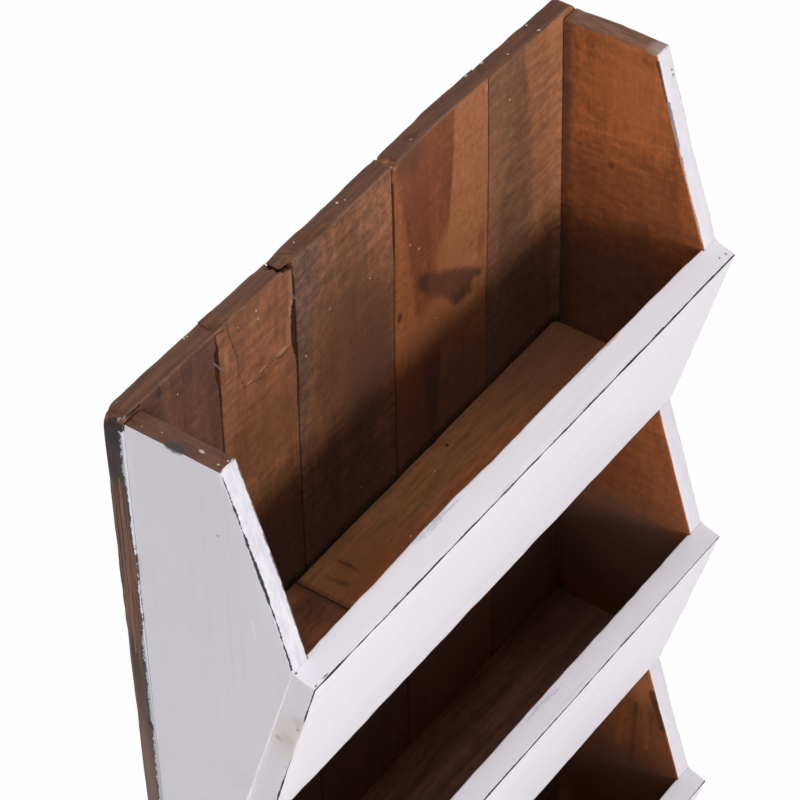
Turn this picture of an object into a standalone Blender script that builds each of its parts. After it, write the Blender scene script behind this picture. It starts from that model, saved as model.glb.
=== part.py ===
# Wall magazine rack: a plank back, two zigzag sides, leaning front boards and pocket floors.
# Metres. +X is to the right seen from the front, the front faces -Y, +Z is up.
# The wall is the plane Y = 0, and Z = 0 is the level of the two screws that the rack hangs on.
import bmesh
import bpy
from math import asin, cos, pi, radians, sin, tan
from mathutils import Matrix, Vector

# Clearance between pieces that touch, and how far a cutter runs out past a face
FIT_GAP = 0.0003
OVERSHOOT = 0.004

# Back planks, left to right: four widths, and the fifth plank fills the rack's width
RACK_WIDTH = 0.400
PLANK_THICKNESS = 0.012
PLANK_WIDTHS = (0.0738, 0.0630, 0.0868, 0.0888)
PLANK_GAP = 0.0008
PLANK_STAND = (0.0020, 0.0040, 0.0035, 0.0050, 0.0045)   # how far each stands above the sides
PLANK_CORNER_RADIUS = 0.008

# Sides: reach is measured out from the planks' front face
SIDE_THICKNESS = 0.013
SIDE_TOP_REACH = 0.062
LIP_REACH = 0.097
MOUTH_HEIGHT = 0.122
POCKET_PITCH = 0.231
BOTTOM_MARGIN = 0.010
HANG_DROP = 0.060           # from the top of the sides down to the hanging level

# Front boards
BOARD_THICKNESS = 0.0145
BOARD_HEIGHT = 0.1395
BOARD_LEAN = radians(16.7)

# Pocket floors: the top one is made of two lengths
FLOOR_THICKNESS = 0.013
FLOOR_DROP = 0.226          # from each pocket's top down to its floor
FLOOR_JOINT = 0.127         # from the rack's left edge

# Wire nails, all alike, with their heads sunk below the surface
NAIL_LENGTH = 0.034
NAIL_SHANK = 0.0018
NAIL_HEAD = 0.0040
NAIL_HEAD_THICKNESS = 0.0010
NAIL_SINK = 0.0006
FRONT_NAIL_INSET = 0.030
SIDE_NAIL_REACH = 0.036
PLANK_NAIL_INSET = 0.045

# Staples across the first and second plank joints
STAPLE_JOINTS = (1, 2)
STAPLE_DROP = 0.020
STAPLE_CROWN = 0.013
STAPLE_LEG = 0.008
STAPLE_WIRE = 0.0012
STAPLE_SINK = 0.0003
STAPLE_TILT = radians(58)

# Keyhole hanger plates let into the back, and their screws
HANGER_INSET = 0.050        # from the rack's edge to the plate's middle line
PLATE_LENGTH = 0.044
PLATE_WIDTH = 0.016
PLATE_THICKNESS = 0.002
KEYHOLE_HEAD = 0.009
KEYHOLE_SLOT = 0.0046
KEYHOLE_RISE = 0.010        # from the middle of the round hole up to the top of the slot
HEAD_POCKET_DEPTH = 0.005
HEAD_POCKET_MARGIN = 0.001
SCREW_LENGTH = 0.009
SCREW_SHANK = 0.0028
SCREW_HEAD = 0.0056
SCREW_HEAD_THICKNESS = 0.0010
SCREW_INSET = 0.0055

ROUND_SIDES = 8             # sides of nails and screws
ARC_STEPS = 6               # steps in a rounded corner or a half circle

# Places worked out from the sizes above
HALF_WIDTH = RACK_WIDTH / 2
FACE_Y = -PLANK_THICKNESS - FIT_GAP
SIDE_TOP = HANG_DROP
SIDE_MIDDLE_X = HALF_WIDTH - SIDE_THICKNESS / 2
FLOOR_END_X = HALF_WIDTH - SIDE_THICKNESS - FIT_GAP
BOARD_DROP = MOUTH_HEIGHT + BOARD_THICKNESS * sin(BOARD_LEAN) + BOARD_HEIGHT * cos(BOARD_LEAN)
POCKETS = ("top", "middle", "bottom")
SIDE_BOTTOM = SIDE_TOP - (len(POCKETS) - 1) * POCKET_PITCH - BOARD_DROP - BOTTOM_MARGIN
NAIL = (NAIL_LENGTH, NAIL_SHANK, NAIL_HEAD, NAIL_HEAD_THICKNESS)
SCREW = (SCREW_LENGTH, SCREW_SHANK, SCREW_HEAD, SCREW_HEAD_THICKNESS)
PLATE_MIDDLE = (KEYHOLE_SLOT - KEYHOLE_RISE) / 2

# Turns an outline drawn as (reach, height) to stand across the rack, and one drawn as (x, height)
ACROSS = Matrix(((0, 0, -1), (-1, 0, 0), (0, 1, 0))).to_4x4()
UPRIGHT = Matrix(((1, 0, 0), (0, 0, -1), (0, 1, 0))).to_4x4()

WHITE_PAINT = (0.78, 0.76, 0.80)
PLANK_BROWNS = (
    (0.085, 0.042, 0.030),
    (0.160, 0.070, 0.034),
    (0.115, 0.056, 0.034),
    (0.170, 0.072, 0.036),
    (0.120, 0.060, 0.036),
)
FLOOR_BROWN = (0.200, 0.095, 0.042)
STEEL = (0.55, 0.55, 0.56)


def clear_scene():
    for thing in list(bpy.data.objects):
        bpy.data.objects.remove(thing, do_unlink=True)


def new_collection(name):
    collection = bpy.data.collections.new(name)
    bpy.context.scene.collection.children.link(collection)
    return collection


def new_material(name, colour, roughness, metallic):
    material = bpy.data.materials.new(name)
    material.use_nodes = True
    shader = material.node_tree.nodes["Principled BSDF"]
    shader.inputs["Base Color"].default_value = (*colour, 1.0)
    shader.inputs["Roughness"].default_value = roughness
    shader.inputs["Metallic"].default_value = metallic
    return material


def add_piece(name, mesh, place, colour, roughness=0.6, metallic=0.0):
    piece = bpy.data.objects.new(name, mesh)
    piece.matrix_world = place
    mesh.materials.clear()
    mesh.materials.append(new_material(name, colour, roughness, metallic))
    parts.objects.link(piece)
    return piece


def add_cutter(name, mesh, place):
    cutter = bpy.data.objects.new(name, mesh)
    cutter.matrix_world = place
    cutter.hide_render = True
    cutter.display_type = "WIRE"
    cutters.objects.link(cutter)
    return cutter


def cut(piece, *tools):
    for tool in tools:
        boolean = piece.modifiers.new(tool.name, "BOOLEAN")
        boolean.operation = "DIFFERENCE"
        boolean.solver = "EXACT"
        boolean.object = tool


def mesh_from_bmesh(name, body):
    mesh = bpy.data.meshes.new(name)
    body.to_mesh(mesh)
    body.free()
    return mesh


def mesh_from_curve(name, curve):
    """The curve's filled solid as a mesh with its caps welded on."""
    holder = bpy.data.objects.new(name, curve)
    bpy.context.scene.collection.objects.link(holder)
    depsgraph = bpy.context.evaluated_depsgraph_get()
    mesh = bpy.data.meshes.new_from_object(holder.evaluated_get(depsgraph))
    bpy.data.objects.remove(holder, do_unlink=True)
    bpy.data.curves.remove(curve)
    body = bmesh.new()
    body.from_mesh(mesh)
    bpy.data.meshes.remove(mesh)
    bmesh.ops.remove_doubles(body, verts=body.verts, dist=1e-6)
    return mesh_from_bmesh(name, body)


def box_mesh(name, low, high):
    """A box between two corners."""
    low = Vector(low)
    high = Vector(high)
    body = bmesh.new()
    bmesh.ops.create_cube(body, size=1.0)
    bmesh.ops.scale(body, vec=high - low, verts=body.verts)
    bmesh.ops.translate(body, vec=(low + high) / 2, verts=body.verts)
    return mesh_from_bmesh(name, body)


def outline_mesh(name, outlines, thickness):
    """Flat outlines, the first filled and the others holes in it, with a thickness about their plane."""
    curve = bpy.data.curves.new(name, "CURVE")
    curve.dimensions = "2D"
    curve.fill_mode = "BOTH"
    curve.extrude = thickness / 2
    for points in outlines:
        spline = curve.splines.new("POLY")
        spline.points.add(len(points) - 1)
        for point, (across, up) in zip(spline.points, points):
            point.co = (across, up, 0.0, 1.0)
        spline.use_cyclic_u = True
    return mesh_from_curve(name, curve)


def arc(centre, radius, start, end, steps=ARC_STEPS):
    """Points along an arc, with both ends."""
    turns = [start + (end - start) * step / steps for step in range(steps + 1)]
    return [(centre[0] + radius * cos(turn), centre[1] + radius * sin(turn)) for turn in turns]


def outward_place(point, outward):
    """A place at the point, with its own +Z along the outward direction."""
    return Matrix.Translation(point) @ Vector(outward).to_track_quat("Z", "Y").to_matrix().to_4x4()


def fastener_mesh(name, sizes, gap=0.0, rise=0.0):
    """A headed pin: the head's top at the origin, the shank running in along -Z.
    With a gap and a rise it is the hole that such a pin sits in."""
    length, shank, head, head_thickness = sizes
    shank_length = length - head_thickness
    pin = bmesh.new()
    bmesh.ops.create_cone(
        pin, cap_ends=True, segments=ROUND_SIDES, radius1=shank / 2 + gap, radius2=shank / 2 + gap,
        depth=shank_length)
    bmesh.ops.translate(pin, vec=(0, 0, -head_thickness - shank_length / 2 - gap), verts=pin.verts)
    top = max(pin.faces, key=lambda face: face.calc_center_median().z)
    widen = (head / 2 + gap) / (shank / 2 + gap)
    for height, scale in ((0.0, widen), (head_thickness + gap + rise, 1.0)):
        top = bmesh.ops.extrude_discrete_faces(pin, faces=[top])["faces"][0]
        bmesh.ops.scale(pin, vec=(scale, scale, 1.0), verts=top.verts)
        bmesh.ops.translate(pin, vec=(0, 0, height), verts=top.verts)
    return mesh_from_bmesh(name, pin)


def joined_mesh(name, single, places):
    """Copies of one mesh, one at each place."""
    group = bmesh.new()
    for place in places:
        copy = single.copy()
        copy.transform(place)
        group.from_mesh(copy)
        bpy.data.meshes.remove(copy)
    return mesh_from_bmesh(name, group)


def add_alike(kind, mesh, hole, places):
    """Alike fasteners, one object at each named place, and the cutter for the holes they sit in."""
    mesh.materials.append(new_material(kind, STEEL, 0.4, 1.0))
    for name, place in places.items():
        fastener = bpy.data.objects.new(name, mesh)
        fastener.matrix_world = place
        parts.objects.link(fastener)
    holes = joined_mesh(kind + "_holes", hole, places.values())
    return add_cutter(kind + "_holes", holes, Matrix())


def add_pins(kind, sizes, places):
    hole = fastener_mesh(kind + "_hole", sizes, FIT_GAP, OVERSHOOT)
    return add_alike(kind, fastener_mesh(kind, sizes), hole, places)


def reach_y(reach):
    return FACE_Y - reach


def pocket_top(pocket):
    return SIDE_TOP - pocket * POCKET_PITCH


def board_place(pocket):
    """The front board's own frame: at the middle of its inner top edge, leaning with the board."""
    lip = Matrix.Translation((0, reach_y(LIP_REACH), pocket_top(pocket) - MOUTH_HEIGHT))
    return lip @ Matrix.Rotation(BOARD_LEAN, 4, "X")


def board_corner(pocket, out, down):
    """Reach and height of a point of the board's section, from its inner top edge."""
    reach = LIP_REACH + out * cos(BOARD_LEAN) - down * sin(BOARD_LEAN)
    height = pocket_top(pocket) - MOUTH_HEIGHT - out * sin(BOARD_LEAN) - down * cos(BOARD_LEAN)
    return reach, height


def board_inner_reach(drop):
    """Reach of the front board's inner face at a drop below its pocket's top."""
    return LIP_REACH - (drop - MOUTH_HEIGHT) * tan(BOARD_LEAN)


def plank_spans():
    """Left and right edge of each back plank."""
    spans = []
    left = -HALF_WIDTH
    for width in PLANK_WIDTHS:
        spans.append((left, left + width))
        left += width + PLANK_GAP
    spans.append((left, HALF_WIDTH))
    return spans


def floor_spans(pocket):
    """Left and right end of each length of a pocket's floor, with the name of its piece."""
    joint = FLOOR_JOINT - HALF_WIDTH
    if pocket == 0:
        return [
            ("pocket_floor_top_short", -FLOOR_END_X, joint - FIT_GAP / 2),
            ("pocket_floor_top_long", joint + FIT_GAP / 2, FLOOR_END_X),
        ]
    return [("pocket_floor_" + POCKETS[pocket], -FLOOR_END_X, FLOOR_END_X)]


def floor_middle(pocket):
    return pocket_top(pocket) - FLOOR_DROP - FLOOR_THICKNESS / 2


def add_planks():
    """Upright planks, the two outer ones with a rounded top corner."""
    planks = []
    spans = plank_spans()
    for number, (left, right) in enumerate(spans):
        top = SIDE_TOP + PLANK_STAND[number]
        radius = PLANK_CORNER_RADIUS
        outline = [(left, SIDE_BOTTOM), (right, SIDE_BOTTOM)]
        if number == len(spans) - 1:
            outline += arc((right - radius, top - radius), radius, 0, pi / 2)
        else:
            outline.append((right, top))
        if number == 0:
            outline += arc((left + radius, top - radius), radius, pi / 2, pi)
        else:
            outline.append((left, top))
        name = "back_plank_" + str(number + 1)
        mesh = outline_mesh(name, [outline], PLANK_THICKNESS)
        place = Matrix.Translation((0, -PLANK_THICKNESS / 2, 0)) @ UPRIGHT
        planks.append(add_piece(name, mesh, place, PLANK_BROWNS[number]))
    return planks


def add_sides():
    """Zigzag panels, drawn as far as the front boards' outer faces; the board seats are cut out after."""
    outline = [(0, SIDE_BOTTOM), (0, SIDE_TOP), (SIDE_TOP_REACH, SIDE_TOP)]
    for pocket in range(len(POCKETS)):
        outline.append(board_corner(pocket, 0, 0))
        outline.append(board_corner(pocket, BOARD_THICKNESS, 0))
        outline.append(board_corner(pocket, BOARD_THICKNESS, BOARD_HEIGHT))
    outline.append((outline[-1][0], SIDE_BOTTOM))
    sides = []
    for name, x in (("side_left", -SIDE_MIDDLE_X), ("side_right", SIDE_MIDDLE_X)):
        mesh = outline_mesh(name, [outline], SIDE_THICKNESS)
        place = Matrix.Translation((x, FACE_Y, 0)) @ ACROSS
        sides.append(add_piece(name, mesh, place, WHITE_PAINT, roughness=0.55))
    return sides


def add_boards():
    """Front boards as long as the rack is wide, and the cutters for their seats in the sides."""
    boards = []
    seats = []
    for pocket in range(len(POCKETS)):
        name = "front_board_" + POCKETS[pocket]
        mesh = box_mesh(name, (-HALF_WIDTH, -BOARD_THICKNESS, -BOARD_HEIGHT), (HALF_WIDTH, 0, 0))
        boards.append(add_piece(name, mesh, board_place(pocket), WHITE_PAINT, roughness=0.55))
        seat_low = (-HALF_WIDTH - OVERSHOOT, -BOARD_THICKNESS - OVERSHOOT, -BOARD_HEIGHT - FIT_GAP)
        seat_high = (HALF_WIDTH + OVERSHOOT, FIT_GAP, OVERSHOOT)
        seat = box_mesh(name + "_seat", seat_low, seat_high)
        seats.append(add_cutter(name + "_seat", seat, board_place(pocket)))
    return boards, seats


def add_floors():
    """Level floors with their front edge planed to the lean of the front board."""
    floors = []
    for pocket in range(len(POCKETS)):
        top = pocket_top(pocket) - FLOOR_DROP
        slack = FIT_GAP / cos(BOARD_LEAN)
        outline = [
            (0, top),
            (0, top - FLOOR_THICKNESS),
            (board_inner_reach(FLOOR_DROP + FLOOR_THICKNESS) - slack, top - FLOOR_THICKNESS),
            (board_inner_reach(FLOOR_DROP) - slack, top),
        ]
        for name, left, right in floor_spans(pocket):
            mesh = outline_mesh(name, [outline], right - left)
            place = Matrix.Translation(((left + right) / 2, FACE_Y, 0)) @ ACROSS
            floors.append(add_piece(name, mesh, place, FLOOR_BROWN))
    return floors


def front_nail_places():
    """Square to each front board, into the edges of both sides."""
    places = {}
    for pocket, pocket_name in enumerate(POCKETS):
        board = board_place(pocket)
        outward = board.to_3x3() @ Vector((0, -1, 0))
        for hand, x in (("left", -SIDE_MIDDLE_X), ("right", SIDE_MIDDLE_X)):
            for end, down in (("upper", FRONT_NAIL_INSET), ("lower", BOARD_HEIGHT - FRONT_NAIL_INSET)):
                point = board @ Vector((x, NAIL_SINK - BOARD_THICKNESS, -down))
                places[f"front_nail_{pocket_name}_{hand}_{end}"] = outward_place(point, outward)
    return places


def side_nail_places():
    """Through both sides into the ends of each floor."""
    places = {}
    for pocket, pocket_name in enumerate(POCKETS):
        for hand, sign in (("left", -1), ("right", 1)):
            point = (sign * (HALF_WIDTH - NAIL_SINK), reach_y(SIDE_NAIL_REACH), floor_middle(pocket))
            places[f"side_nail_{pocket_name}_{hand}"] = outward_place(point, (sign, 0, 0))
    return places


def floor_nail_places():
    """Through the middle of each plank's stretch of floor, into the floor's back edge."""
    places = {}
    for pocket, pocket_name in enumerate(POCKETS):
        for number, (left, right) in enumerate(plank_spans(), 1):
            x = (max(left, -FLOOR_END_X) + min(right, FLOOR_END_X)) / 2
            point = (x, -NAIL_SINK, floor_middle(pocket))
            places[f"floor_nail_{pocket_name}_{number}"] = outward_place(point, (0, 1, 0))
    return places


def plank_nail_places():
    """Through the outer planks into the back edges of the sides."""
    places = {}
    ends = (("upper", SIDE_TOP - PLANK_NAIL_INSET), ("lower", SIDE_BOTTOM + PLANK_NAIL_INSET))
    for hand, x in (("left", -SIDE_MIDDLE_X), ("right", SIDE_MIDDLE_X)):
        for end, height in ends:
            places[f"plank_nail_{hand}_{end}"] = outward_place((x, -NAIL_SINK, height), (0, 1, 0))
    return places


def staple_mesh(name, gap=0.0):
    """Wire staple with its crown along X and its legs along +Y; with a gap it is the staple's slot."""
    curve = bpy.data.curves.new(name, "CURVE")
    curve.dimensions = "3D"
    curve.fill_mode = "FULL"
    curve.bevel_depth = STAPLE_WIRE / 2 + gap
    curve.bevel_resolution = 1
    curve.use_fill_caps = True
    half = STAPLE_CROWN / 2
    leg = STAPLE_LEG + gap
    spline = curve.splines.new("POLY")
    spline.points.add(3)
    for point, (x, y) in zip(spline.points, ((-half, leg), (-half, 0), (half, 0), (half, leg))):
        point.co = (x, y, 0.0, 1.0)
    return mesh_from_curve(name, curve)


def staple_places():
    """Bridging the plank joints, tilted, with the crown let into the planks' front face."""
    places = {}
    for number in STAPLE_JOINTS:
        joint_x = plank_spans()[number - 1][1] + PLANK_GAP / 2
        middle = (joint_x, STAPLE_SINK - PLANK_THICKNESS, SIDE_TOP - STAPLE_DROP)
        tilt = Matrix.Rotation(STAPLE_TILT, 4, "Y")
        places[f"joint_staple_{number}"] = Matrix.Translation(middle) @ tilt
    return places


def keyhole_outline():
    """Round hole for a screw's head with a slot rising from it, from the slot's round top, anticlockwise."""
    slot = KEYHOLE_SLOT / 2
    hole = KEYHOLE_HEAD / 2
    meet = asin(slot / hole)
    upper = arc((0, 0), slot, 0, pi)
    lower = arc((0, slot - KEYHOLE_RISE), hole, pi / 2 + meet, 5 * pi / 2 - meet, 2 * ARC_STEPS)
    return upper + lower


def plate_outline(grow=0.0):
    """Plate with round ends, centred on the keyhole's height."""
    radius = PLATE_WIDTH / 2 + grow
    straight = PLATE_LENGTH / 2 - PLATE_WIDTH / 2
    upper = arc((0, PLATE_MIDDLE + straight), radius, 0, pi)
    lower = arc((0, PLATE_MIDDLE - straight), radius, pi, 2 * pi)
    return upper + lower


def add_hangers():
    """Keyhole plates flush in the back, with their mortises, head pockets and screws."""
    plates = []
    tools = []
    screws = {}
    for hand, sign in (("left", -1), ("right", 1)):
        name = "hanger_plate_" + hand
        x = sign * (HALF_WIDTH - HANGER_INSET)
        plate_y = -FIT_GAP - PLATE_THICKNESS / 2
        mesh = outline_mesh(name, [plate_outline(), keyhole_outline()], PLATE_THICKNESS)
        place = Matrix.Translation((x, plate_y, 0)) @ UPRIGHT
        plates.append(add_piece(name, mesh, place, STEEL, roughness=0.35, metallic=1.0))
        depth = PLATE_THICKNESS + 2 * FIT_GAP
        mortise = outline_mesh(name + "_mortise", [plate_outline(FIT_GAP)], depth + OVERSHOOT)
        place = Matrix.Translation((x, (OVERSHOOT - depth) / 2, 0)) @ UPRIGHT
        tools.append(add_cutter(name + "_mortise", mortise, place))
        half = KEYHOLE_HEAD / 2 + HEAD_POCKET_MARGIN
        low = (-half, -depth - HEAD_POCKET_DEPTH, KEYHOLE_SLOT / 2 - KEYHOLE_RISE - half)
        high = (half, OVERSHOOT, half)
        pocket = box_mesh(name + "_pocket", low, high)
        tools.append(add_cutter(name + "_pocket", pocket, Matrix.Translation((x, 0, 0))))
        for end, way in (("upper", 1), ("lower", -1)):
            height = PLATE_MIDDLE + way * (PLATE_LENGTH / 2 - SCREW_INSET)
            screws[f"hanger_screw_{hand}_{end}"] = outward_place((x, -FIT_GAP, height), (0, 1, 0))
    holes = add_pins("hanger_screw", SCREW, screws)
    for plate in plates:
        cut(plate, holes)
    return tools + [holes]


def build():
    planks = add_planks()
    sides = add_sides()
    boards, seats = add_boards()
    floors = add_floors()
    front_holes = add_pins("front_nail", NAIL, front_nail_places())
    side_holes = add_pins("side_nail", NAIL, side_nail_places())
    floor_holes = add_pins("floor_nail", NAIL, floor_nail_places())
    plank_holes = add_pins("plank_nail", NAIL, plank_nail_places())
    slot = staple_mesh("joint_staple_slot", FIT_GAP)
    staple_slots = add_alike("joint_staple", staple_mesh("joint_staple"), slot, staple_places())
    hanger_cuts = add_hangers()
    for plank in planks:
        cut(plank, floor_holes, plank_holes, staple_slots, *hanger_cuts)
    for side in sides:
        cut(side, *seats, front_holes, side_holes, plank_holes)
    for board in boards:
        cut(board, front_holes)
    for floor in floors:
        cut(floor, side_holes, floor_holes)


clear_scene()
parts = new_collection("wall_magazine_rack")
cutters = new_collection("cutters")
build()
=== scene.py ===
import math

import bpy
import numpy as np
from mathutils import Matrix, Vector


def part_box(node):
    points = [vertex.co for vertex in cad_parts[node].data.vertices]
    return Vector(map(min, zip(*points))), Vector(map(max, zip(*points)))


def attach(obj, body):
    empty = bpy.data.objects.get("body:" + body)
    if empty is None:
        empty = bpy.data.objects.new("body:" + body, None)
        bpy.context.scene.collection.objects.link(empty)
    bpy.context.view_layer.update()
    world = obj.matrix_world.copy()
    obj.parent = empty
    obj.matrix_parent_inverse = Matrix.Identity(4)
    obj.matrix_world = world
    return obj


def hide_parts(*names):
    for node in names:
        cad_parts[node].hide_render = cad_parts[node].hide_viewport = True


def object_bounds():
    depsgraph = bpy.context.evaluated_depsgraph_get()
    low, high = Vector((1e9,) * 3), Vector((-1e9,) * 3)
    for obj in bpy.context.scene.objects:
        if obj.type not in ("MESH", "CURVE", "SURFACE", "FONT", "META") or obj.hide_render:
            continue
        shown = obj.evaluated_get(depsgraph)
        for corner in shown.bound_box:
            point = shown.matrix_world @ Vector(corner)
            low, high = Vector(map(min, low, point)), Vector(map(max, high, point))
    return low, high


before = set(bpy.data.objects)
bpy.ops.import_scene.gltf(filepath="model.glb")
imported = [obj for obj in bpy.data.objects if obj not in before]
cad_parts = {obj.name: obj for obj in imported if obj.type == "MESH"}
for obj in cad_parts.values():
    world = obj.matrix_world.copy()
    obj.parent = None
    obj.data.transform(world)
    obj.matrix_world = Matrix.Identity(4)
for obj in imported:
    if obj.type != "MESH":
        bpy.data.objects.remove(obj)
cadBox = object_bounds()
print("frame:", len(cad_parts), "CAD nodes")


# Value noise: a random number at each point of a cubic lattice, blended smoothly between the eight
# lattice points round a place. Places are an array of x, y, z; the answer runs from -1 to 1.
def latticeNoise(places, seed):
    cell = np.floor(places).astype(np.int64)
    share = places - cell
    share = share * share * (3 - 2 * share)
    total = np.zeros(len(places))
    for corner in np.ndindex(2, 2, 2):
        at = cell + corner
        mixed = (at @ (374761393, 668265263, 1442695041) + seed * 974634777) & 0xFFFFFFFF
        mixed = ((mixed ^ (mixed >> 13)) * 1274126177) & 0xFFFFFFFF
        value = (mixed ^ (mixed >> 16)) / 0x7FFFFFFF - 1
        total += value * np.where(np.array(corner, bool), share, 1 - share).prod(1)
    return total


# Three layers of that noise, each twice as fine and half as strong as the one before, over the sum of
# their strengths. A shift keeps the layers' lattices apart.
def roughNoise(places, seed):
    layers = [latticeNoise(places * 2 ** n + 17 * n, seed + n) / 2 ** n for n in range(3)]
    return sum(layers) / 1.75


# A ramp from 0 to 1 between two values, with level ends.
def smoothRamp(value, low, high):
    share = np.clip((value - low) / (high - low), 0, 1)
    return share * share * (3 - 2 * share)


# Distance from points to a line of straight pieces, all in two dimensions.
def lineGap(points, corners):
    nearest = np.full(len(points), np.inf)
    for start, end in zip(np.array(corners[:-1]), np.array(corners[1:])):
        run = end - start
        share = np.clip((points - start) @ run / (run @ run), 0, 1)
        nearest = np.minimum(nearest, np.linalg.norm(points - start - share[:, None] * run, axis=1))
    return nearest


# How deep points lie inside a closed outline, below nothing outside it. A point is inside when a line
# from it to the right crosses the outline an odd number of times.
def outlineDepth(points, corners):
    closed = list(corners) + [corners[0]]
    inside = np.zeros(len(points), bool)
    for (x0, z0), (x1, z1) in zip(closed, closed[1:]):
        spans = (z0 > points[:, 1]) != (z1 > points[:, 1])
        crossing = x0 + (points[:, 1] - z0) * (x1 - x0) / (z1 - z0 if z1 != z0 else 1)
        inside ^= spans & (points[:, 0] < crossing)
    return np.where(inside, 1, -1) * lineGap(points, closed)


# Positions along one side of a board: close together round each arris, then in even steps. A fine
# stretch (from, to, step) has its own step.
def ticksAlong(low, high, arris, step, fine=()):
    turn = arris * (1 - np.tan(np.radians([45, 30, 15, 0])))
    turn = np.append(turn, 1.5 * arris)
    edges = [low + turn[-1]]
    steps = []
    for start, end, fineStep in fine:
        edges += [max(start, edges[0]), min(end, high - turn[-1])]
        steps += [step, fineStep]
    edges.append(high - turn[-1])
    steps.append(step)
    spans = [(a, b, s) for a, b, s in zip(edges, edges[1:], steps) if b > a]
    runs = [np.linspace(a, b, max(1, round((b - a) / s)) + 1) for a, b, s in spans]
    return np.unique(np.concatenate([low + turn, *runs, high - turn]).round(7))


# A board's skin: six grids over a box, sharing the points along their borders. Across the box x runs
# from left to right, share from the back (0) to the front (1) and z from the bottom up, and reachAt(z)
# says how far out the front lies. Each point is drawn in to the box one arris radius inside and pushed
# out again by that radius, which rounds every arris. Gaps are the distances from the six faces.
def slabSkin(xs, shares, zs, reachAt, arris):
    skin = np.ones((len(xs), len(shares), len(zs)), bool)
    skin[1:-1, 1:-1, 1:-1] = False
    number = np.full(skin.shape, -1)
    number[skin] = np.arange(skin.sum())
    i, j, k = np.nonzero(skin)
    reach = reachAt(zs)[k]
    places = np.stack((xs[i], shares[j] * reach, zs[k]), 1)
    low = np.array((xs[0], 0, zs[0]))
    high = np.stack((np.full(len(i), xs[-1]), reach, np.full(len(i), zs[-1])), 1)
    inner = np.clip(places, low + arris, high - arris)
    outward = places - inner
    outward /= np.linalg.norm(outward, axis=1, keepdims=True)
    sheets = [
        number[0], number[-1].T, number[:, 0].T, number[:, -1], number[:, :, 0], number[:, :, -1].T]
    quads = [np.stack((s[:-1, :-1], s[1:, :-1], s[1:, 1:], s[:-1, 1:]), -1).reshape(-1, 4) for s in sheets]
    return dict(
        places=inner + arris * outward, outward=outward, quads=np.concatenate(quads),
        gaps=np.stack((places - low, high - places), 1))


flush = 1e-6                                      # a point with a smaller gap lies on the face


# Gap to the nearest arris: on a face one gap is nothing, so the next smallest is the arris.
def arrisGap(skin):
    return np.sort(skin["gaps"].min(1), axis=1)[:, 1]


# Arrises left square where the test holds, so that two boards meet closely.
def squareUp(skin, corner, test):
    skin["places"][test] = (skin["gaps"][:, 0] + corner)[test]


rubBias = 0.25                                    # above 0, so that over half of an arris is rubbed
rubSeed = 7                                       # added to the seed of the waves


# Old timber: long shallow waves over the faces, and arrises rubbed down unevenly, times the share given.
def weather(skin, look, waveLengths, seed, rubShare=1.0):
    wave = look["wave"] * roughNoise(skin["places"] / waveLengths, seed)
    rub = np.clip(roughNoise(skin["places"] / look["rubLength"], seed + rubSeed) + rubBias, 0, 1)
    rub *= rubShare * look["rub"] * np.exp(-(arrisGap(skin) / look["rubWidth"]) ** 2)
    skin["places"] = skin["places"] + skin["outward"] * (wave - rub)[:, None]


biteLook = dict(ragged=0.22, grit=0.0022, rim=(1.0, 0.62))
crackLook = dict(
    width=0.0007, depth=0.0003, wander=0.35, bend=0.003, line=0.0006, colour=(0.05, 0.021, 0.012),
    strength=0.75)


# Lumps broken out of a board: points inside an egg-shaped space move by a push, with a ragged rim.
def breakOut(skin, bites, seed):
    for centre, radii, push in bites:
        away = np.linalg.norm((skin["places"] - centre) / radii, axis=1)
        away += biteLook["ragged"] * latticeNoise(skin["places"] / biteLook["grit"], seed)
        skin["places"] = skin["places"] + smoothRamp(away, *biteLook["rim"])[:, None] * np.array(push)


# A crack cut into the front face along a line of (x, z) corners, deepest in its middle.
def cutCrack(skin, corners, seed):
    look = crackLook
    places = skin["places"]
    gap = lineGap(places[:, [0, 2]], corners)
    gap += look["wander"] * look["width"] * latticeNoise(places / look["bend"], seed)
    onFront = skin["gaps"][:, 1, 1] < flush
    places[:, 1] -= np.where(onFront, look["depth"] * smoothRamp(gap, look["width"], 0), 0)


# Row-frame place of (x, reach, z): reach runs out from the wall side, towards -Y.
def upright(places, backY):
    return places * (1, -1, 1) + (0, backY, 0)


# A mesh of quads that carries its marks at its points and stands in for CAD nodes on the root body.
def addPiece(name, places, quads, marks, material, slotName, *nodes):
    mesh = bpy.data.meshes.new(name)
    mesh.vertices.add(len(places))
    mesh.vertices.foreach_set("co", places.astype(np.float32).ravel())
    mesh.loops.add(quads.size)
    mesh.loops.foreach_set("vertex_index", quads.astype(np.int32).ravel())
    mesh.polygons.add(len(quads))
    mesh.polygons.foreach_set("loop_start", np.arange(0, quads.size, 4, dtype=np.int32))
    mesh.update(calc_edges=True)
    mesh.shade_smooth()
    for markName, values in marks.items():
        attribute = mesh.attributes.new(markName, "FLOAT", "POINT")
        attribute.data.foreach_set("value", values.astype(np.float32))
    mesh.materials.append(material)
    piece = bpy.data.objects.new(name, mesh)
    bpy.context.scene.collection.objects.link(piece)
    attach(piece, "root")
    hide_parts(*nodes)
    print("piece:", name, len(quads) * 2, "triangles")


# Shader nodes: a value that is a socket is linked, anything else is set on the input.
def feed(tree, socket, value):
    if isinstance(value, bpy.types.NodeSocket):
        tree.links.new(value, socket)
    else:
        socket.default_value = value


def newNode(tree, kind, **inputs):
    node = tree.nodes.new(kind)
    for name, value in inputs.items():
        feed(tree, node.inputs[name], value)
    return node


def calc(tree, kind, first, second=0.0, third=0.0, clamp=False):
    node = tree.nodes.new("ShaderNodeMath")
    node.operation = kind
    node.use_clamp = clamp
    for socket, value in zip(node.inputs, (first, second, third)):
        feed(tree, socket, value)
    return node.outputs[0]


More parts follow.
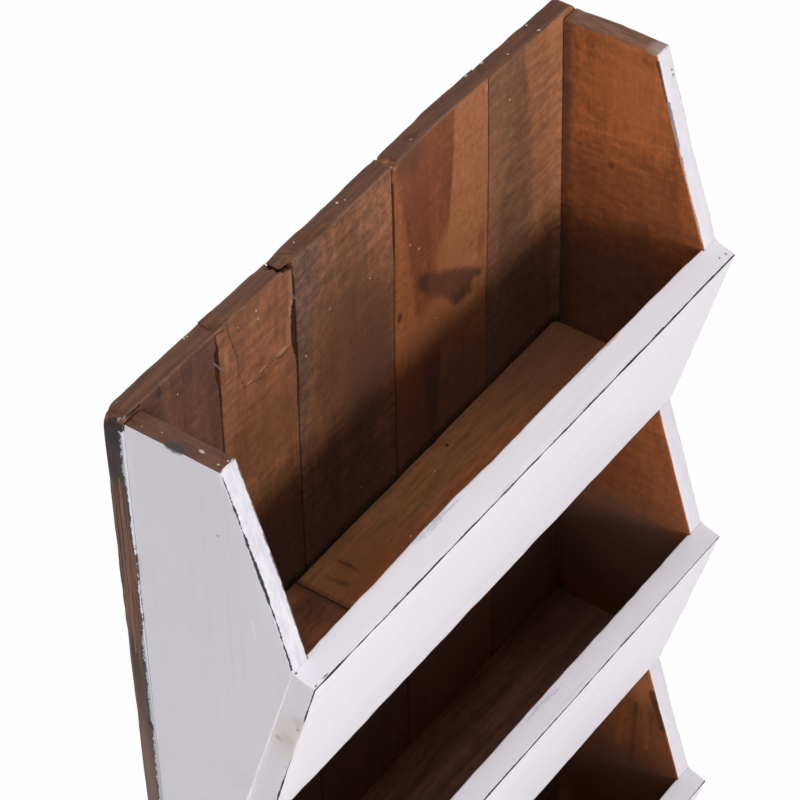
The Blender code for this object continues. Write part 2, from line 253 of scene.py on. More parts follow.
def times(tree, first, second):
    return calc(tree, "MULTIPLY", first, second)


def ramp(tree, value, low, high, bottom=0.0, top=1.0):
    node = tree.nodes.new("ShaderNodeMapRange")
    node.interpolation_type = "SMOOTHSTEP"
    for socket, setting in zip(node.inputs, (value, low, high, bottom, top)):
        feed(tree, socket, setting)
    return node.outputs[0]


# A blend of two colours. A mix node's colour sockets are its inputs 6 and 7 and its output 2.
def blend(tree, share, first, second, kind="MIX"):
    node = tree.nodes.new("ShaderNodeMix")
    node.data_type = "RGBA"
    node.blend_type = kind
    feed(tree, node.inputs[0], share)
    feed(tree, node.inputs[6], first if isinstance(first, bpy.types.NodeSocket) else (*first, 1))
    feed(tree, node.inputs[7], second if isinstance(second, bpy.types.NodeSocket) else (*second, 1))
    return node.outputs[2]


def stretched(tree, vector, scale, shift=(0, 0, 0), turn=(0, 0, 0)):
    node = newNode(tree, "ShaderNodeMapping", Vector=vector, Location=shift, Rotation=turn, Scale=scale)
    return node.outputs[0]


def grain(tree, vector, detail, roughness, distortion=0.0):
    node = newNode(
        tree, "ShaderNodeTexNoise", Vector=vector, Scale=1.0, Detail=detail, Roughness=roughness,
        Distortion=distortion)
    return node.outputs["Fac"]


# The value of a mark that the mesh carries at its points.
def mark(tree, name):
    node = tree.nodes.new("ShaderNodeAttribute")
    node.attribute_name = name
    return node.outputs["Fac"]


# Sheen and bumps of the finishes.
timberFinish = dict(roughness=0.58, specular=0.22, bump=0.45, bumpDepth=0.0005)
paintFinish = dict(roughness=0.5, specular=0.25, bump=0.22, bumpDepth=0.0004)


def freshMaterial(name, finish):
    material = bpy.data.materials.new(name)
    material.use_nodes = True
    tree = material.node_tree
    shader = tree.nodes["Principled BSDF"]
    shader.inputs["Roughness"].default_value = finish["roughness"]
    shader.inputs["Specular IOR Level"].default_value = finish["specular"]
    place = tree.nodes.new("ShaderNodeTexCoord").outputs["Object"]
    return material, tree, shader, place


def finishMaterial(tree, shader, colour, height, finish):
    feed(tree, shader.inputs["Base Color"], colour)
    bump = newNode(
        tree, "ShaderNodeBump", Strength=finish["bump"], Distance=finish["bumpDepth"], Height=height)
    feed(tree, shader.inputs["Normal"], bump.outputs[0])


# A layer of noise that follows the grain along one axis: its repeats per metre along the grain and
# across it, then the noise's own settings.
def layer(tree, place, axis, shift, along, across, *settings):
    scale = tuple(along if letter == axis else across for letter in "xyz")
    return grain(tree, stretched(tree, place, scale, shift), *settings)


# Sums with vectors. A scale takes a plain value; dot products, distances and lengths give one.
def vectorCalc(tree, kind, first, second=(0, 0, 0)):
    node = tree.nodes.new("ShaderNodeVectorMath")
    node.operation = kind
    feed(tree, node.inputs[0], first)
    if kind == "SCALE":
        feed(tree, node.inputs["Scale"], second)
    elif kind != "LENGTH":
        feed(tree, node.inputs[1], second)
    return node.outputs["Value" if kind in ("DOT_PRODUCT", "DISTANCE", "LENGTH") else "Vector"]


# How marks are shaken: repeats per metre and how far, then the noise's own settings. A dab is wide when
# its least radius is past wide.
shakeLook = dict(
    ragged=(160, 0.007), trembling=(420, 0.0016), splintered=(330, 0.0042), detail=4.0, roughness=0.65,
    wide=0.004)


# A place moved a little by noise, so that what is drawn round it has a ragged outline.
def shaken(tree, place, perMetre, amount):
    noise = newNode(
        tree, "ShaderNodeTexNoise", Vector=place, Scale=perMetre, Detail=shakeLook["detail"],
        Roughness=shakeLook["roughness"])
    away = vectorCalc(tree, "SUBTRACT", noise.outputs["Color"], (0.5, 0.5, 0.5))
    return vectorCalc(tree, "ADD", place, vectorCalc(tree, "SCALE", away, amount))


# How far a place is from an egg-shaped patch: 1 at its rim.
def patchGap(tree, place, centre, radii):
    shift = tuple(-c / r for c, r in zip(centre, radii))
    return vectorCalc(tree, "LENGTH", stretched(tree, place, tuple(1 / r for r in radii), shift))


# How far a place is from a line of straight strokes, in metres.
def strokeGap(tree, place, corners):
    nearest = None
    for start, end in zip(corners, corners[1:]):
        run = Vector(end) - Vector(start)
        away = vectorCalc(tree, "SUBTRACT", place, start)
        along = vectorCalc(tree, "DOT_PRODUCT", away, run / run.length_squared)
        along = calc(tree, "MULTIPLY", along, 1.0, clamp=True)
        gap = vectorCalc(tree, "DISTANCE", away, vectorCalc(tree, "SCALE", run, along))
        nearest = gap if nearest is None else calc(tree, "MINIMUM", nearest, gap)
    return nearest


# The timber's layers of noise: repeats per metre along the grain and across it, detail, roughness and
# distortion. The repeats of a mottle and of end rings come from the piece, and so do a saw stroke's
# along the grain.
timberLayers = dict(
    figure=(5, 60, 6, 0.62, 0.9), stain=(15, 24, 6, 0.68), fibre=(20, 800, 3, 0.6), pore=(85, 1400, 2, 0.5),
    speckle=(620, 620, 4, 0.7), mottle=(5, 0.72), stroke=(40, 3, 0.58, 0.5), scratch=(1500, 60, 2, 0.5),
    edge=(12, 560, 4, 0.65), knotRim=(330, 330, 3, 0.6), wander=(14, 5, 3, 0.6), tear=(230, 18, 3, 0.6),
    rings=(4, 0.65))

# Where each layer begins to show and is full, and for some its least and greatest share. Stroke tints
# are shares of red, green and blue.
timberLevels = dict(
    tone=(0.36, 0.62), mottle=(0.28, 0.72), stroke=(0.34, 0.66), pore=(0.55, 0.67), scratch=(0.7, 0.78),
    speckle=(0.6, 0.7), rings=(0.32, 0.68), wearAndHighlight=(0.4, 0.58, 0.1, 0.6), edge=(0.4, 0.6),
    strokeDark=(0.5, 0.46, 0.38), strokeLight=(0.55, 0.42, 0.25), strokeHeight=0.6, poreDepth=0.7)


# A streak along the grain, between two edges measured across it. Slant moves both edges sideways
# along the grain, wobble makes them wander and torn breaks them up along the saw strokes.
def streakShare(tree, place, look, streak):
    split = newNode(tree, "ShaderNodeSeparateXYZ", Vector=place)
    wander = layer(tree, place, look["axis"], look["shift"], *timberLayers["wander"])
    across = split.outputs["xyz".index(look["across"])]
    across = calc(tree, "MULTIPLY_ADD", wander, streak["wobble"], across)
    across = calc(tree, "SUBTRACT", across, streak["wobble"] / 2)
    along = split.outputs["xyz".index(look["axis"])]
    across = calc(tree, "MULTIPLY_ADD", along, -streak.get("slant", 0.0), across)
    if "torn" in streak:
        turned = stretched(tree, place, (1, 1, 1), (0, 0, 0), look["strokeTurn"])
        strokes = layer(tree, turned, look["axis"], look["shift"], *timberLayers["tear"])
        across = calc(tree, "SUBTRACT", across, streak["torn"] / 2)
        across = calc(tree, "MULTIPLY_ADD", strokes, streak["torn"], across)
    soft = streak["soft"]
    rise = ramp(tree, across, streak["low"] - soft, streak["low"] + soft)
    fall = ramp(tree, across, streak["high"] + soft, streak["high"] - soft)
    return times(tree, times(tree, rise, fall), streak["strength"])


# A grey as bright as the tone.
def toneColour(tree, tone):
    return newNode(tree, "ShaderNodeCombineColor", Red=tone, Green=tone, Blue=tone).outputs[0]


frontFace = -0.012                                # y of the planks' front faces
backLine = -0.0123                                # y of the back edges of the sides and floors
leftFace = -0.2                                   # x of the left side's outer face
rightFace = 0.187                                 # x of the right side's inner face
sideTop = 0.06                                    # z of the sides' top edges
floorTop = -0.166                                 # z of the top floor's upper face


# Places for marks on the planks' fronts, the top floor, and the sides' faces and top edges. A reach is
# the distance out from the back edge.
def onPlank(x, z):
    return x, frontFace, z


def onFloor(x, reach):
    return x, backLine - reach, floorTop


def onLeft(reach, z):
    return leftFace, backLine - reach, z


def onRight(reach, z):
    return rightFace, backLine - reach, z


def onSideTop(x, reach):
    return x, backLine - reach, sideTop


# A row of places on a side's mouth edge, from pairs of reach and height.
def onMouth(x, *pairs):
    return [(x, backLine - reach, z) for reach, z in pairs]


# A patch of colour round a centre, and a line of colour along straight strokes.
def dab(centre, radii, colour, strength=0.85, soft=0.3, torn=False):
    return dict(centre=centre, radii=radii, colour=colour, strength=strength, soft=soft, torn=torn)


def scored(width, colour, strength, *corners, torn=False):
    return dict(width=width, colour=colour, strength=strength, corners=corners, torn=torn)


# Dabs and lines over a colour. Wide dabs and torn lines get a ragged outline, torn dabs a splintered
# one, and the others tremble a little.
def overlay(tree, place, colour, dabs, lines):
    look = shakeLook
    ragged = shaken(tree, place, *look["ragged"])
    trembling = shaken(tree, place, *look["trembling"])
    splintered = shaken(tree, place, *look["splintered"])
    for patch in dabs:
        spot = splintered if patch["torn"] else ragged if min(patch["radii"]) > look["wide"] else trembling
        gap = patchGap(tree, spot, patch["centre"], patch["radii"])
        inside = ramp(tree, gap, 1.0 + patch["soft"], 1.0 - patch["soft"], 0.0, patch["strength"])
        colour = blend(tree, inside, colour, patch["colour"])
    for line in lines:
        gap = strokeGap(tree, ragged if line["torn"] else trembling, line["corners"])
        inside = ramp(tree, gap, line["width"], line["width"] * 0.5, 0.0, line["strength"])
        colour = blend(tree, inside, colour, line["colour"])
    return colour


# Old brown timber. A broad figure and a stain in patches run between dark and light, then come
# streaks at their own places, fine fibres, short pores and pale speckles. Saw strokes and pale
# scratches run across the grain where the mark sawnFace is 1. End grain and sawn edges have colours of
# their own, and arrises a paler one that is partly wear and partly painted highlight. Dabs, lines and knots
# come last.
def timberColour(tree, place, look):
    axis, shift, levels = look["axis"], look["shift"], timberLevels
    sawn = mark(tree, "sawnFace")
    turned = stretched(tree, place, (1, 1, 1), (0, 0, 0), look["strokeTurn"])
    figure, stain, fibre, pore, speckle = [
        layer(tree, place, axis, shift, *timberLayers[name])
        for name in ("figure", "stain", "fibre", "pore", "speckle")]
    mottle = layer(tree, place, axis, shift, *look["mottle"], *timberLayers["mottle"])
    stroke = layer(tree, turned, axis, shift, look["strokePitch"], *timberLayers["stroke"])
    scratch = layer(tree, turned, axis, shift, *timberLayers["scratch"])
    share = calc(tree, "MULTIPLY_ADD", figure, 0.5, times(tree, stain, 0.5))
    colour = blend(tree, ramp(tree, share, *levels["tone"]), look["dark"], look["light"])
    for streak in look.get("streaks", ()):
        colour = blend(tree, streakShare(tree, place, look, streak), colour, streak["colour"])
    tone = calc(tree, "MULTIPLY_ADD", fibre, look["fibre"], 1 - look["fibre"] / 2)
    rough = ramp(tree, mottle, *levels["mottle"], 1 - look["rough"] / 2, 1 + look["rough"] / 2)
    tone = times(tree, tone, rough)
    colour = blend(tree, 1.0, colour, toneColour(tree, tone), "MULTIPLY")
    darker = tuple(1 - part * look["stroke"] for part in levels["strokeDark"])
    lighter = tuple(1 + part * look["stroke"] for part in levels["strokeLight"])
    strokeTint = blend(tree, ramp(tree, stroke, *levels["stroke"]), darker, lighter)
    colour = blend(tree, sawn, colour, strokeTint, "MULTIPLY")
    pores = times(tree, ramp(tree, pore, *levels["pore"]), look["pore"])
    colour = blend(tree, pores, colour, look["poreColour"])
    onSawn = times(tree, sawn, look["scratch"])
    scratched = times(tree, ramp(tree, scratch, *levels["scratch"]), onSawn)
    speckled = times(tree, ramp(tree, speckle, *levels["speckle"]), look["speckle"])
    colour = blend(tree, calc(tree, "MAXIMUM", scratched, speckled), colour, look["scratchColour"])
    height = calc(tree, "MULTIPLY_ADD", stroke, levels["strokeHeight"], fibre)
    height = calc(tree, "SUBTRACT", height, times(tree, pores, levels["poreDepth"]))
    rings = grain(tree, stretched(tree, place, look["endScale"], shift), *timberLayers["rings"])
    ends = blend(tree, ramp(tree, rings, *levels["rings"]), look["endDark"], look["endLight"])
    colour = blend(tree, mark(tree, "endGrain"), colour, ends)
    # Paler arrises: partly wear, partly a painted highlight.
    wearAndHighlight = times(tree, mark(tree, "wearAndHighlightArris"), ramp(tree, stain, *levels["wearAndHighlight"]))
    colour = blend(tree, wearAndHighlight, colour, look["wearAndHighlight"])
    lines = layer(tree, place, axis, shift, *timberLayers["edge"])
    edges = blend(tree, ramp(tree, lines, *levels["edge"]), look["edgeDark"], look["edgeLight"])
    colour = blend(tree, mark(tree, "sawnEdge"), colour, edges)
    colour = overlay(tree, place, colour, look.get("dabs", ()), look.get("lines", ()))
    if "knot" in look:
        ragged = layer(tree, place, axis, shift, *timberLayers["knotRim"])
        depth = calc(tree, "SUBTRACT", mark(tree, "knotDepth"), look["knotWobble"] / 2)
        depth = calc(tree, "MULTIPLY_ADD", ragged, look["knotWobble"], depth)
        heart = overlay(tree, place, look["knotColour"], look["knotDabs"], ())
        heart = blend(tree, 1.0, heart, toneColour(tree, tone), "MULTIPLY")
        inKnot = ramp(tree, depth, -look["knotSoft"], look["knotSoft"], 0.0, look["knotStrength"])
        colour = blend(tree, inKnot, colour, heart)
    return colour, height


# Pale specks of paint: a few cells of a cell pattern have a dot at their middle.
def specks(tree, place, perMetre, size, chance):
    cells = newNode(tree, "ShaderNodeTexVoronoi", Vector=place, Scale=perMetre)
    split = newNode(tree, "ShaderNodeSeparateColor", Color=cells.outputs["Color"])
    chosen = calc(tree, "LESS_THAN", split.outputs[0], chance)
    return times(tree, chosen, ramp(tree, cells.outputs["Distance"], size, size * 0.5))


whitePaint = dict(
    colour=(0.795, 0.762, 0.806), thin=(0.62, 0.602, 0.668), warm=(0.7, 0.64, 0.63), lap=(0.54, 0.535, 0.6),
    blue=(0.47, 0.49, 0.58), charcoal=(0.016, 0.017, 0.023), streak=0.35, smudge=0.22, smear=0.4,
    borderWobble=0.0026, borderSoft=0.0003, smearReach=(0.0036, 0.001))

# The paint's layers of noise and their levels, as the timber's are given.
paintLayers = dict(
    streak=(7, 380, 4, 0.6), cloud=(8, 30, 4, 0.6), smudge=(16, 34, 5, 0.7), brush=(60, 260, 5, 0.7),
    ragged=(420, 420, 4, 0.7), lumpy=(30, 70, 4, 0.65), drift=(26, 160, 4, 0.7))
paintLevels = dict(
    streak=(0.45, 0.75), cloud=(0.35, 0.7), brush=(0.34, 0.66, 0.15, 1.0), smudge=(0.56, 0.74),
    rim=(0.42, 0.54), drift=(0.54, 0.7), lumpy=(0.36, 0.64), rub=(-0.0001, 0.0002))

mouthSlope = 0.31                                 # how fast the sides' mouth edges run back as they rise


# Brushed white paint over a charcoal undercoat. Brush streaks run along the grain, with a few warm
# smudges. Where the thin-coat mark is 1 the coat is thinner, darker and brushed along the mouth edge; on
# the sides' front edges that darkening is partly painted shade. At its ragged border, and where it is
# rubbed off along an arris, the undercoat shows, with bluish smears beside the rub. The marks paintDepth
# and rubbedArris say how far a point is from the border and from the rubbed arris.
def paintOver(tree, place, axis, shift, under, rub):
    look, levels = whitePaint, paintLevels
    streak, cloud, smudge, ragged, lumpy, drift = [
        layer(tree, place, axis, shift, *paintLayers[name])
        for name in ("streak", "cloud", "smudge", "ragged", "lumpy", "drift")]
    thin = ramp(tree, streak, *levels["streak"])
    thin = times(tree, thin, ramp(tree, cloud, *levels["cloud"]))
    split = newNode(tree, "ShaderNodeSeparateXYZ", Vector=place)
    x, y, z = split.outputs
    leant = newNode(tree, "ShaderNodeCombineXYZ", X=x, Y=calc(tree, "MULTIPLY_ADD", z, -mouthSlope, y), Z=z)
    brush = layer(tree, leant.outputs[0], axis, shift, *paintLayers["brush"])
    # Thinner, darker coat on the mouth edges: brushed paint, and partly painted shade.
    coat = times(tree, mark(tree, "thinCoatAndShade"), ramp(tree, brush, *levels["brush"]))
    thin = calc(tree, "MAXIMUM", coat, times(tree, thin, look["streak"]))
    paint = blend(tree, thin, look["colour"], look["thin"])
    dirt = times(tree, ramp(tree, smudge, *levels["smudge"]), look["smudge"])
    paint = blend(tree, dirt, paint, look["warm"])
    wobble = calc(tree, "MULTIPLY_ADD", ragged, look["borderWobble"], -look["borderWobble"] / 2)
    border = calc(tree, "ADD", mark(tree, "paintDepth"), wobble)
    painted = ramp(tree, border, 0.0, look["borderSoft"])
    rim = ramp(tree, border, rub["rimWidth"], look["borderSoft"])
    rim = times(tree, rim, ramp(tree, lumpy, *levels["rim"]))
    arris = mark(tree, "rubbedArris")
    smear = ramp(tree, arris, *look["smearReach"])
    smear = times(tree, smear, ramp(tree, drift, *levels["drift"]))
    paint = blend(tree, times(tree, smear, look["smear"]), paint, look["blue"])
    width = ramp(tree, lumpy, *levels["lumpy"], rub["least"], rub["most"])
    edge = calc(tree, "ADD", arris, times(tree, wobble, rub["ragged"]))
    rubbed = ramp(tree, calc(tree, "SUBTRACT", width, edge), *levels["rub"])
    undercoat = calc(tree, "MAXIMUM", times(tree, rim, rub["rim"]), rubbed)
    paint = blend(tree, undercoat, paint, look["charcoal"])
    height = calc(tree, "SUBTRACT", streak, undercoat)
    return blend(tree, painted, under, paint), height


plankLook = dict(
    arris=0.0006, wave=0.00015, rub=0.0005, rubWidth=0.0016, rubLength=(0.012, 0.009, 0.016),
    step=0.0016, fineStep=0.0009, topStretch=0.25, lowStep=0.005, cornerRadius=0.008, topBlend=0.06,
    lapTop=0.056, lapOver=0.0008, lapStrip=0.003, lapHeights=(-0.7, -0.26, -0.1, -0.08, -0.03, 0.0, 0.05),
    lapWidths=(0.0018, 0.0026, 0.0024, 0.0004, -0.0002, 0.0014, 0.0022),
    hollow=(0.0016, 0.0034), hollowHalf=0.1865, hollowRise=(0.03, -0.15), hollowFoot=(-0.184, -0.17),
    hollowEnd=0.002, lip=0.001, lipReach=(0.0065, 0.0055), lipEdge=(0.001, 0.0002),
    wearAndHighlightReach=(0.0013, 0.0004), edgeReach=(0.0008, 0.0002), seat=0.002, unrubbed=(0.002, 0.006),
    waveLengths=(0.03, 0.03, 0.12), waveSeed=11, biteSeed=3, depthShare=0.1, notMarked=-0.02,
    swellRise=(-0.25, 0.0),
    jointLine=0.0011, jointStrength=0.8, jointFrom=0.054, jointTo=-0.164, darkJoints=(2, 3, 4))

timberBase = dict(
    axis="z", across="x", strokeTurn=(0, math.radians(3), 0), strokePitch=210,
    stroke=0.4, fibre=0.22, pore=0.12, scratch=0.3, speckle=0.35, rough=0.45,
    poreColour=(0.026, 0.012, 0.008), scratchColour=(0.38, 0.195, 0.105), wearAndHighlight=(0.25, 0.13, 0.08),
    mottle=(240, 240), endScale=(26, 380, 380),
    endDark=(0.069, 0.0245, 0.0118), endLight=(0.14, 0.052, 0.024),
    edgeDark=(0.036, 0.018, 0.014), edgeLight=(0.2, 0.09, 0.056))

crackDark = (0.012, 0.006, 0.005)
splinterPale = (0.42, 0.21, 0.11)
smokeDark = (0.016, 0.017, 0.021)
paintFleck = (0.66, 0.63, 0.62)


# A pale speck on a plank's front face or top.
def fleck(x, y, z, size=0.0006):
    radii = (size, 0.003, size) if y == frontFace else (size, size, 0.004)
    return dab((x, y, z), radii, (0.62, 0.52, 0.45), 0.9, 0.4)


# A plank's topRise is the height of its top edge over the CAD's at its left, middle and right.
plankTimbers = {
    1: dict(
        timberBase, dark=(0.073, 0.029, 0.018), light=(0.147, 0.058, 0.034), shift=(1.3, 0.4, 2.1),
        stroke=0.3, speckle=0.45, topRise=(0.001, 0.0018, 0.0016), outerSwell=0.0018,
        dabs=[
            fleck(-0.1378, -0.0012, 0.0635), fleck(-0.1357, -0.0015, 0.0635, 0.0005),
            dab(onPlank(-0.1721, 0.0586), (0.0018, 0.004, 0.0034), (0.03, 0.016, 0.012), 0.8, 0.5,
                torn=True),
            dab((-0.201, -0.006, 0.036), (0.005, 0.012, 0.019), (0.03, 0.019, 0.019), 0.88, 0.35),
            dab((-0.203, -0.007, 0.052), (0.0046, 0.008, 0.01), (0.017, 0.013, 0.014), 0.9, 0.25,
                torn=True),
            dab((-0.1961, -0.006, 0.066), (0.0011, 0.0011, 0.003), paintFleck, 0.9, 0.3),
            dab((-0.1927, -0.0025, 0.066), (0.0005, 0.0005, 0.003), paintFleck, 0.9, 0.3),
            dab((-0.199, -0.0085, 0.063), (0.0012, 0.0008, 0.004), paintFleck, 0.6, 0.5, torn=True),
            dab((-0.1975, -0.0105, 0.064), (0.001, 0.0007, 0.004), paintFleck, 0.5, 0.5, torn=True),
            dab((-0.2, -0.006, -0.3), (0.006, 0.012, 0.15), (0.22, 0.135, 0.115), 0.75, 0.5)],
        lines=[
            scored(0.0013, crackDark, 0.85, onPlank(-0.2, 0.062), onPlank(-0.1868, 0.062)),
            scored(0.0006, (0.04, 0.018, 0.012), 0.6, onPlank(-0.1538, 0.063), onPlank(-0.1528, 0.05)),
            scored(0.0007, (0.3, 0.17, 0.1), 0.5, (-0.2016, -0.0068, 0.02), (-0.2014, -0.006, -0.05),
                   (-0.201, -0.005, -0.11))]),
    2: dict(
        timberBase, dark=(0.14, 0.053, 0.024), light=(0.25, 0.097, 0.044), shift=(3.7, 1.4, 0.2),
        scratch=0.6, stroke=0.36, topRise=(0.0006, 0.0, -0.0004),
        dabs=[
            fleck(-0.093, frontFace, 0.0538), fleck(-0.0921, frontFace, 0.0477, 0.0005),
            dab(onPlank(-0.092, -0.034), (0.036, 0.03, 0.024), (0.115, 0.044, 0.021), 0.45, 0.6),
            dab(onPlank(-0.067, 0.019), (0.0034, 0.02, 0.0125), (0.31, 0.15, 0.08), 0.65, 0.4, torn=True),
            dab(onPlank(-0.0642, 0.05), (0.0018, 0.02, 0.013), (0.33, 0.15, 0.075), 0.7, 0.4, torn=True),
            *(dab(onPlank(x, z), (wide, 0.003, tall), splinterPale, 0.7, 0.5, torn=True)
              for x, z, wide, tall in (
                  (-0.102, 0.0105, 0.002, 0.001), (-0.0905, 0.0115, 0.003, 0.0011),
                  (-0.074, 0.0115, 0.004, 0.0016))),
            dab(onPlank(-0.0654, 0.035), (0.0016, 0.02, 0.006), (0.4, 0.185, 0.095), 0.75, 0.4, torn=True),
            dab(onPlank(-0.119, 0.04), (0.0016, 0.003, 0.006), splinterPale, 0.45, 0.6, torn=True),
            dab(onPlank(-0.096, 0.047), (0.003, 0.003, 0.0045), splinterPale, 0.22, 0.8, torn=True)],
        crack=[
            (-0.1165, 0.0635), (-0.1159, 0.0547), (-0.1137, 0.0475), (-0.1112, 0.0379), (-0.1098, 0.0298),
            (-0.1101, 0.0223), (-0.1081, 0.0165), (-0.1053, 0.0093)],
        lines=[
            scored(0.0008, (0.055, 0.023, 0.012), 0.7, onPlank(-0.1053, 0.0093), onPlank(-0.1003, 0.0089),
                   onPlank(-0.0928, 0.0066), onPlank(-0.0899, 0.01), onPlank(-0.0805, 0.0105),
                   onPlank(-0.0753, 0.008), onPlank(-0.0729, 0.0082), onPlank(-0.0668, 0.0091))]),
    3: dict(
        timberBase, dark=(0.125, 0.052, 0.027), light=(0.27, 0.112, 0.053), shift=(5.1, 2.6, 1.7),
        stroke=0.5, speckle=0.7, rough=0.75, topRise=(0.0008, 0.0018, 0.003),
        streaks=[
            dict(low=-0.09, high=-0.0465, soft=0.004, wobble=0.008, slant=0.16,
                 colour=(0.112, 0.06, 0.044), strength=0.85)],
        dabs=[
            fleck(-0.0328, frontFace, 0.0097, 0.0007), fleck(-0.0546, frontFace, -0.0076, 0.0007),
            fleck(-0.0497, -0.0039, 0.0645, 0.0005), fleck(-0.0129, -0.0044, 0.0645, 0.0007),
            dab(onPlank(-0.014, -0.03), (0.038, 0.03, 0.058), (0.09, 0.034, 0.017), 0.78, 0.55),
            dab((-0.058, -0.006, 0.062), (0.0045, 0.006, 0.0022), (0.33, 0.14, 0.066), 0.6, 0.5),
            dab(onPlank(0.004, -0.062), (0.022, 0.03, 0.036), (0.088, 0.04, 0.026), 0.6, 0.5)],
        lines=[
            scored(0.0018, (0.24, 0.115, 0.063), 0.14, onPlank(-0.0391, 0.028), onPlank(-0.0478, -0.001),
                   onPlank(-0.0477, -0.029), onPlank(-0.054, -0.051)),
            scored(0.0005, crackDark, 0.8, (-0.0612, -0.001, 0.064), (-0.0585, -0.006, 0.064),
                   (-0.059, -0.012, 0.063)),
            scored(0.0005, crackDark, 0.7, (-0.06, -0.003, 0.064), (-0.056, -0.01, 0.065))]),
    4: dict(
        timberBase, dark=(0.14, 0.038, 0.014), light=(0.2, 0.06, 0.0225), shift=(7.9, 0.8, 3.3),
        stroke=0.14, fibre=0.42, pore=0.2, speckle=0.22, scratch=0.2, rough=0.42,
        topRise=(0.0012, 0.0034, 0.0022),
        streaks=[
            dict(low=-0.05, high=0.0385, soft=0.003, wobble=0.004, slant=-0.13, colour=(0.27, 0.089, 0.031),
                 strength=0.9),
            dict(low=0.078, high=0.17, soft=0.0018, wobble=0.006, slant=0.09, colour=(0.345, 0.131, 0.054),
                 strength=0.9)],
        dabs=[
            fleck(0.0482, frontFace, -0.0075), fleck(0.0498, -0.0068, 0.065),
            fleck(0.1089, -0.0012, 0.065, 0.0011),
            dab(onPlank(0.1135, 0.0605), (0.0014, 0.004, 0.002), (0.52, 0.27, 0.16), 0.8, 0.5, torn=True),
            dab(onPlank(0.077, -0.034), (0.012, 0.03, 0.022), (0.32, 0.119, 0.048), 0.8, 0.35),
            dab(onPlank(0.062, -0.078), (0.022, 0.03, 0.022), (0.28, 0.096, 0.037), 0.85, 0.4),
            dab(onPlank(0.1085, -0.046), (0.0035, 0.03, 0.011), (0.16, 0.055, 0.022), 0.6, 0.5),
            dab(onPlank(0.0299, -0.0451), (0.0026, 0.003, 0.0034), (0.045, 0.022, 0.018), 0.9, 0.4),
            dab(onPlank(0.0348, -0.0234), (0.0009, 0.003, 0.001), (0.1, 0.035, 0.015), 0.8, 0.4),
            dab((0.0285, -0.007, 0.0635), (0.0035, 0.006, 0.0022), (0.33, 0.13, 0.056), 0.7, 0.5),
            dab((0.025, -0.006, 0.064), (0.0026, 0.0034, 0.004), (0.42, 0.16, 0.066), 0.7, 0.5, torn=True),
            dab(onPlank(0.042, 0.06), (0.012, 0.02, 0.01), (0.09, 0.036, 0.02), 0.6, 0.5)],
        lines=[
            scored(0.001, (0.42, 0.19, 0.09), 0.5, onPlank(0.1142, 0.058), onPlank(0.1142, -0.095)),
            scored(0.0005, crackDark, 0.75, (0.0555, -0.0008, 0.0655), (0.053, -0.0035, 0.0655),
                   (0.0502, -0.007, 0.0655)),
            scored(0.0006, crackDark, 0.8, (0.0238, -0.002, 0.0635), (0.0268, -0.007, 0.0635),
                   (0.0278, -0.0115, 0.063)),
            scored(0.0006, crackDark, 0.7, (0.0262, -0.003, 0.064), (0.03, -0.0105, 0.064)),
            scored(0.0007, (0.48, 0.4, 0.34), 0.7, (0.027, -0.0095, 0.0635), (0.0296, -0.0112, 0.063))],
        knot=[
            (0.044, -0.0225), (0.0467, -0.0364), (0.0535, -0.0453), (0.0617, -0.0532), (0.07, -0.059),
            (0.077, -0.0681), (0.0854, -0.0777), (0.0928, -0.0766), (0.0996, -0.0779), (0.0997, -0.068),
            (0.1085, -0.0725), (0.109, -0.0669), (0.0968, -0.0569), (0.086, -0.05), (0.0716, -0.0406),
            (0.0645, -0.0376), (0.0551, -0.0303)],
        knotColour=(0.098, 0.036, 0.018), knotStrength=0.95, knotWobble=0.005, knotSoft=0.0028,
        knotDabs=[
            dab(onPlank(0.0526, -0.037), (0.005, 0.02, 0.009), (0.055, 0.018, 0.009), 0.9, 0.5),
            dab(onPlank(0.088, -0.074), (0.006, 0.02, 0.006), (0.06, 0.02, 0.01), 0.8, 0.5)]),
    5: dict(
        timberBase, dark=(0.14, 0.064, 0.036), light=(0.225, 0.103, 0.056), shift=(9.2, 3.1, 4.6),
        stroke=0.34, fibre=0.25, speckle=0.15, strokePitch=300, topRise=(0.0018, 0.0012, 0.0004),
        endDark=(0.062, 0.0212, 0.0099), endLight=(0.125, 0.045, 0.02),
        dabs=[
            fleck(0.1657, -0.0021, 0.064, 0.0007), fleck(0.1661, -0.0101, 0.064, 0.0008),
            fleck(0.1384, -0.0083, 0.064), fleck(0.1242, -0.0006, 0.064, 0.0014),
            fleck(0.1353, frontFace, 0.0382)],
        streaks=[
            dict(low=0.156, high=0.27, soft=0.003, wobble=0.01, slant=-0.08, torn=0.02,
                 colour=(0.32, 0.13, 0.058), strength=0.7),
            dict(low=0.176, high=0.27, soft=0.003, wobble=0.004, slant=-0.04,
                 colour=(0.38, 0.16, 0.076), strength=0.6)]),
}

# Lumps gone from the planks: centre, radii and push, each as x, reach from the wall, z.
plankBites = {
    1: [((-0.1262, 0.012, 0.04), (0.002, 0.0035, 0.014), (-0.0006, -0.001, 0))],
    2: [((-0.1215, 0.011, 0.0645), (0.0085, 0.006, 0.0045), (0, -0.0012, -0.0026)),
        ((-0.064, 0.005, 0.066), (0.0105, 0.0115, 0.0065), (0, 0, -0.0046)),
        ((-0.0626, 0.012, 0.018), (0.0032, 0.004, 0.02), (-0.0013, -0.0018, 0))],
    3: [((-0.0617, 0.003, 0.0665), (0.0045, 0.008, 0.007), (-0.0075, 0, -0.0014)),
        ((-0.036, 0.0125, 0.064), (0.016, 0.006, 0.005), (0, -0.0008, -0.0022))],
    4: [((0.0262, 0.008, 0.0655), (0.0055, 0.011, 0.0045), (0.0008, 0, -0.0024)),
        ((0.0505, 0.007, 0.0675), (0.0045, 0.005, 0.0026), (0, 0, -0.0013))],
    5: [((0.1165, 0.004, 0.0655), (0.004, 0.006, 0.0036), (0, 0, -0.0016))],
}

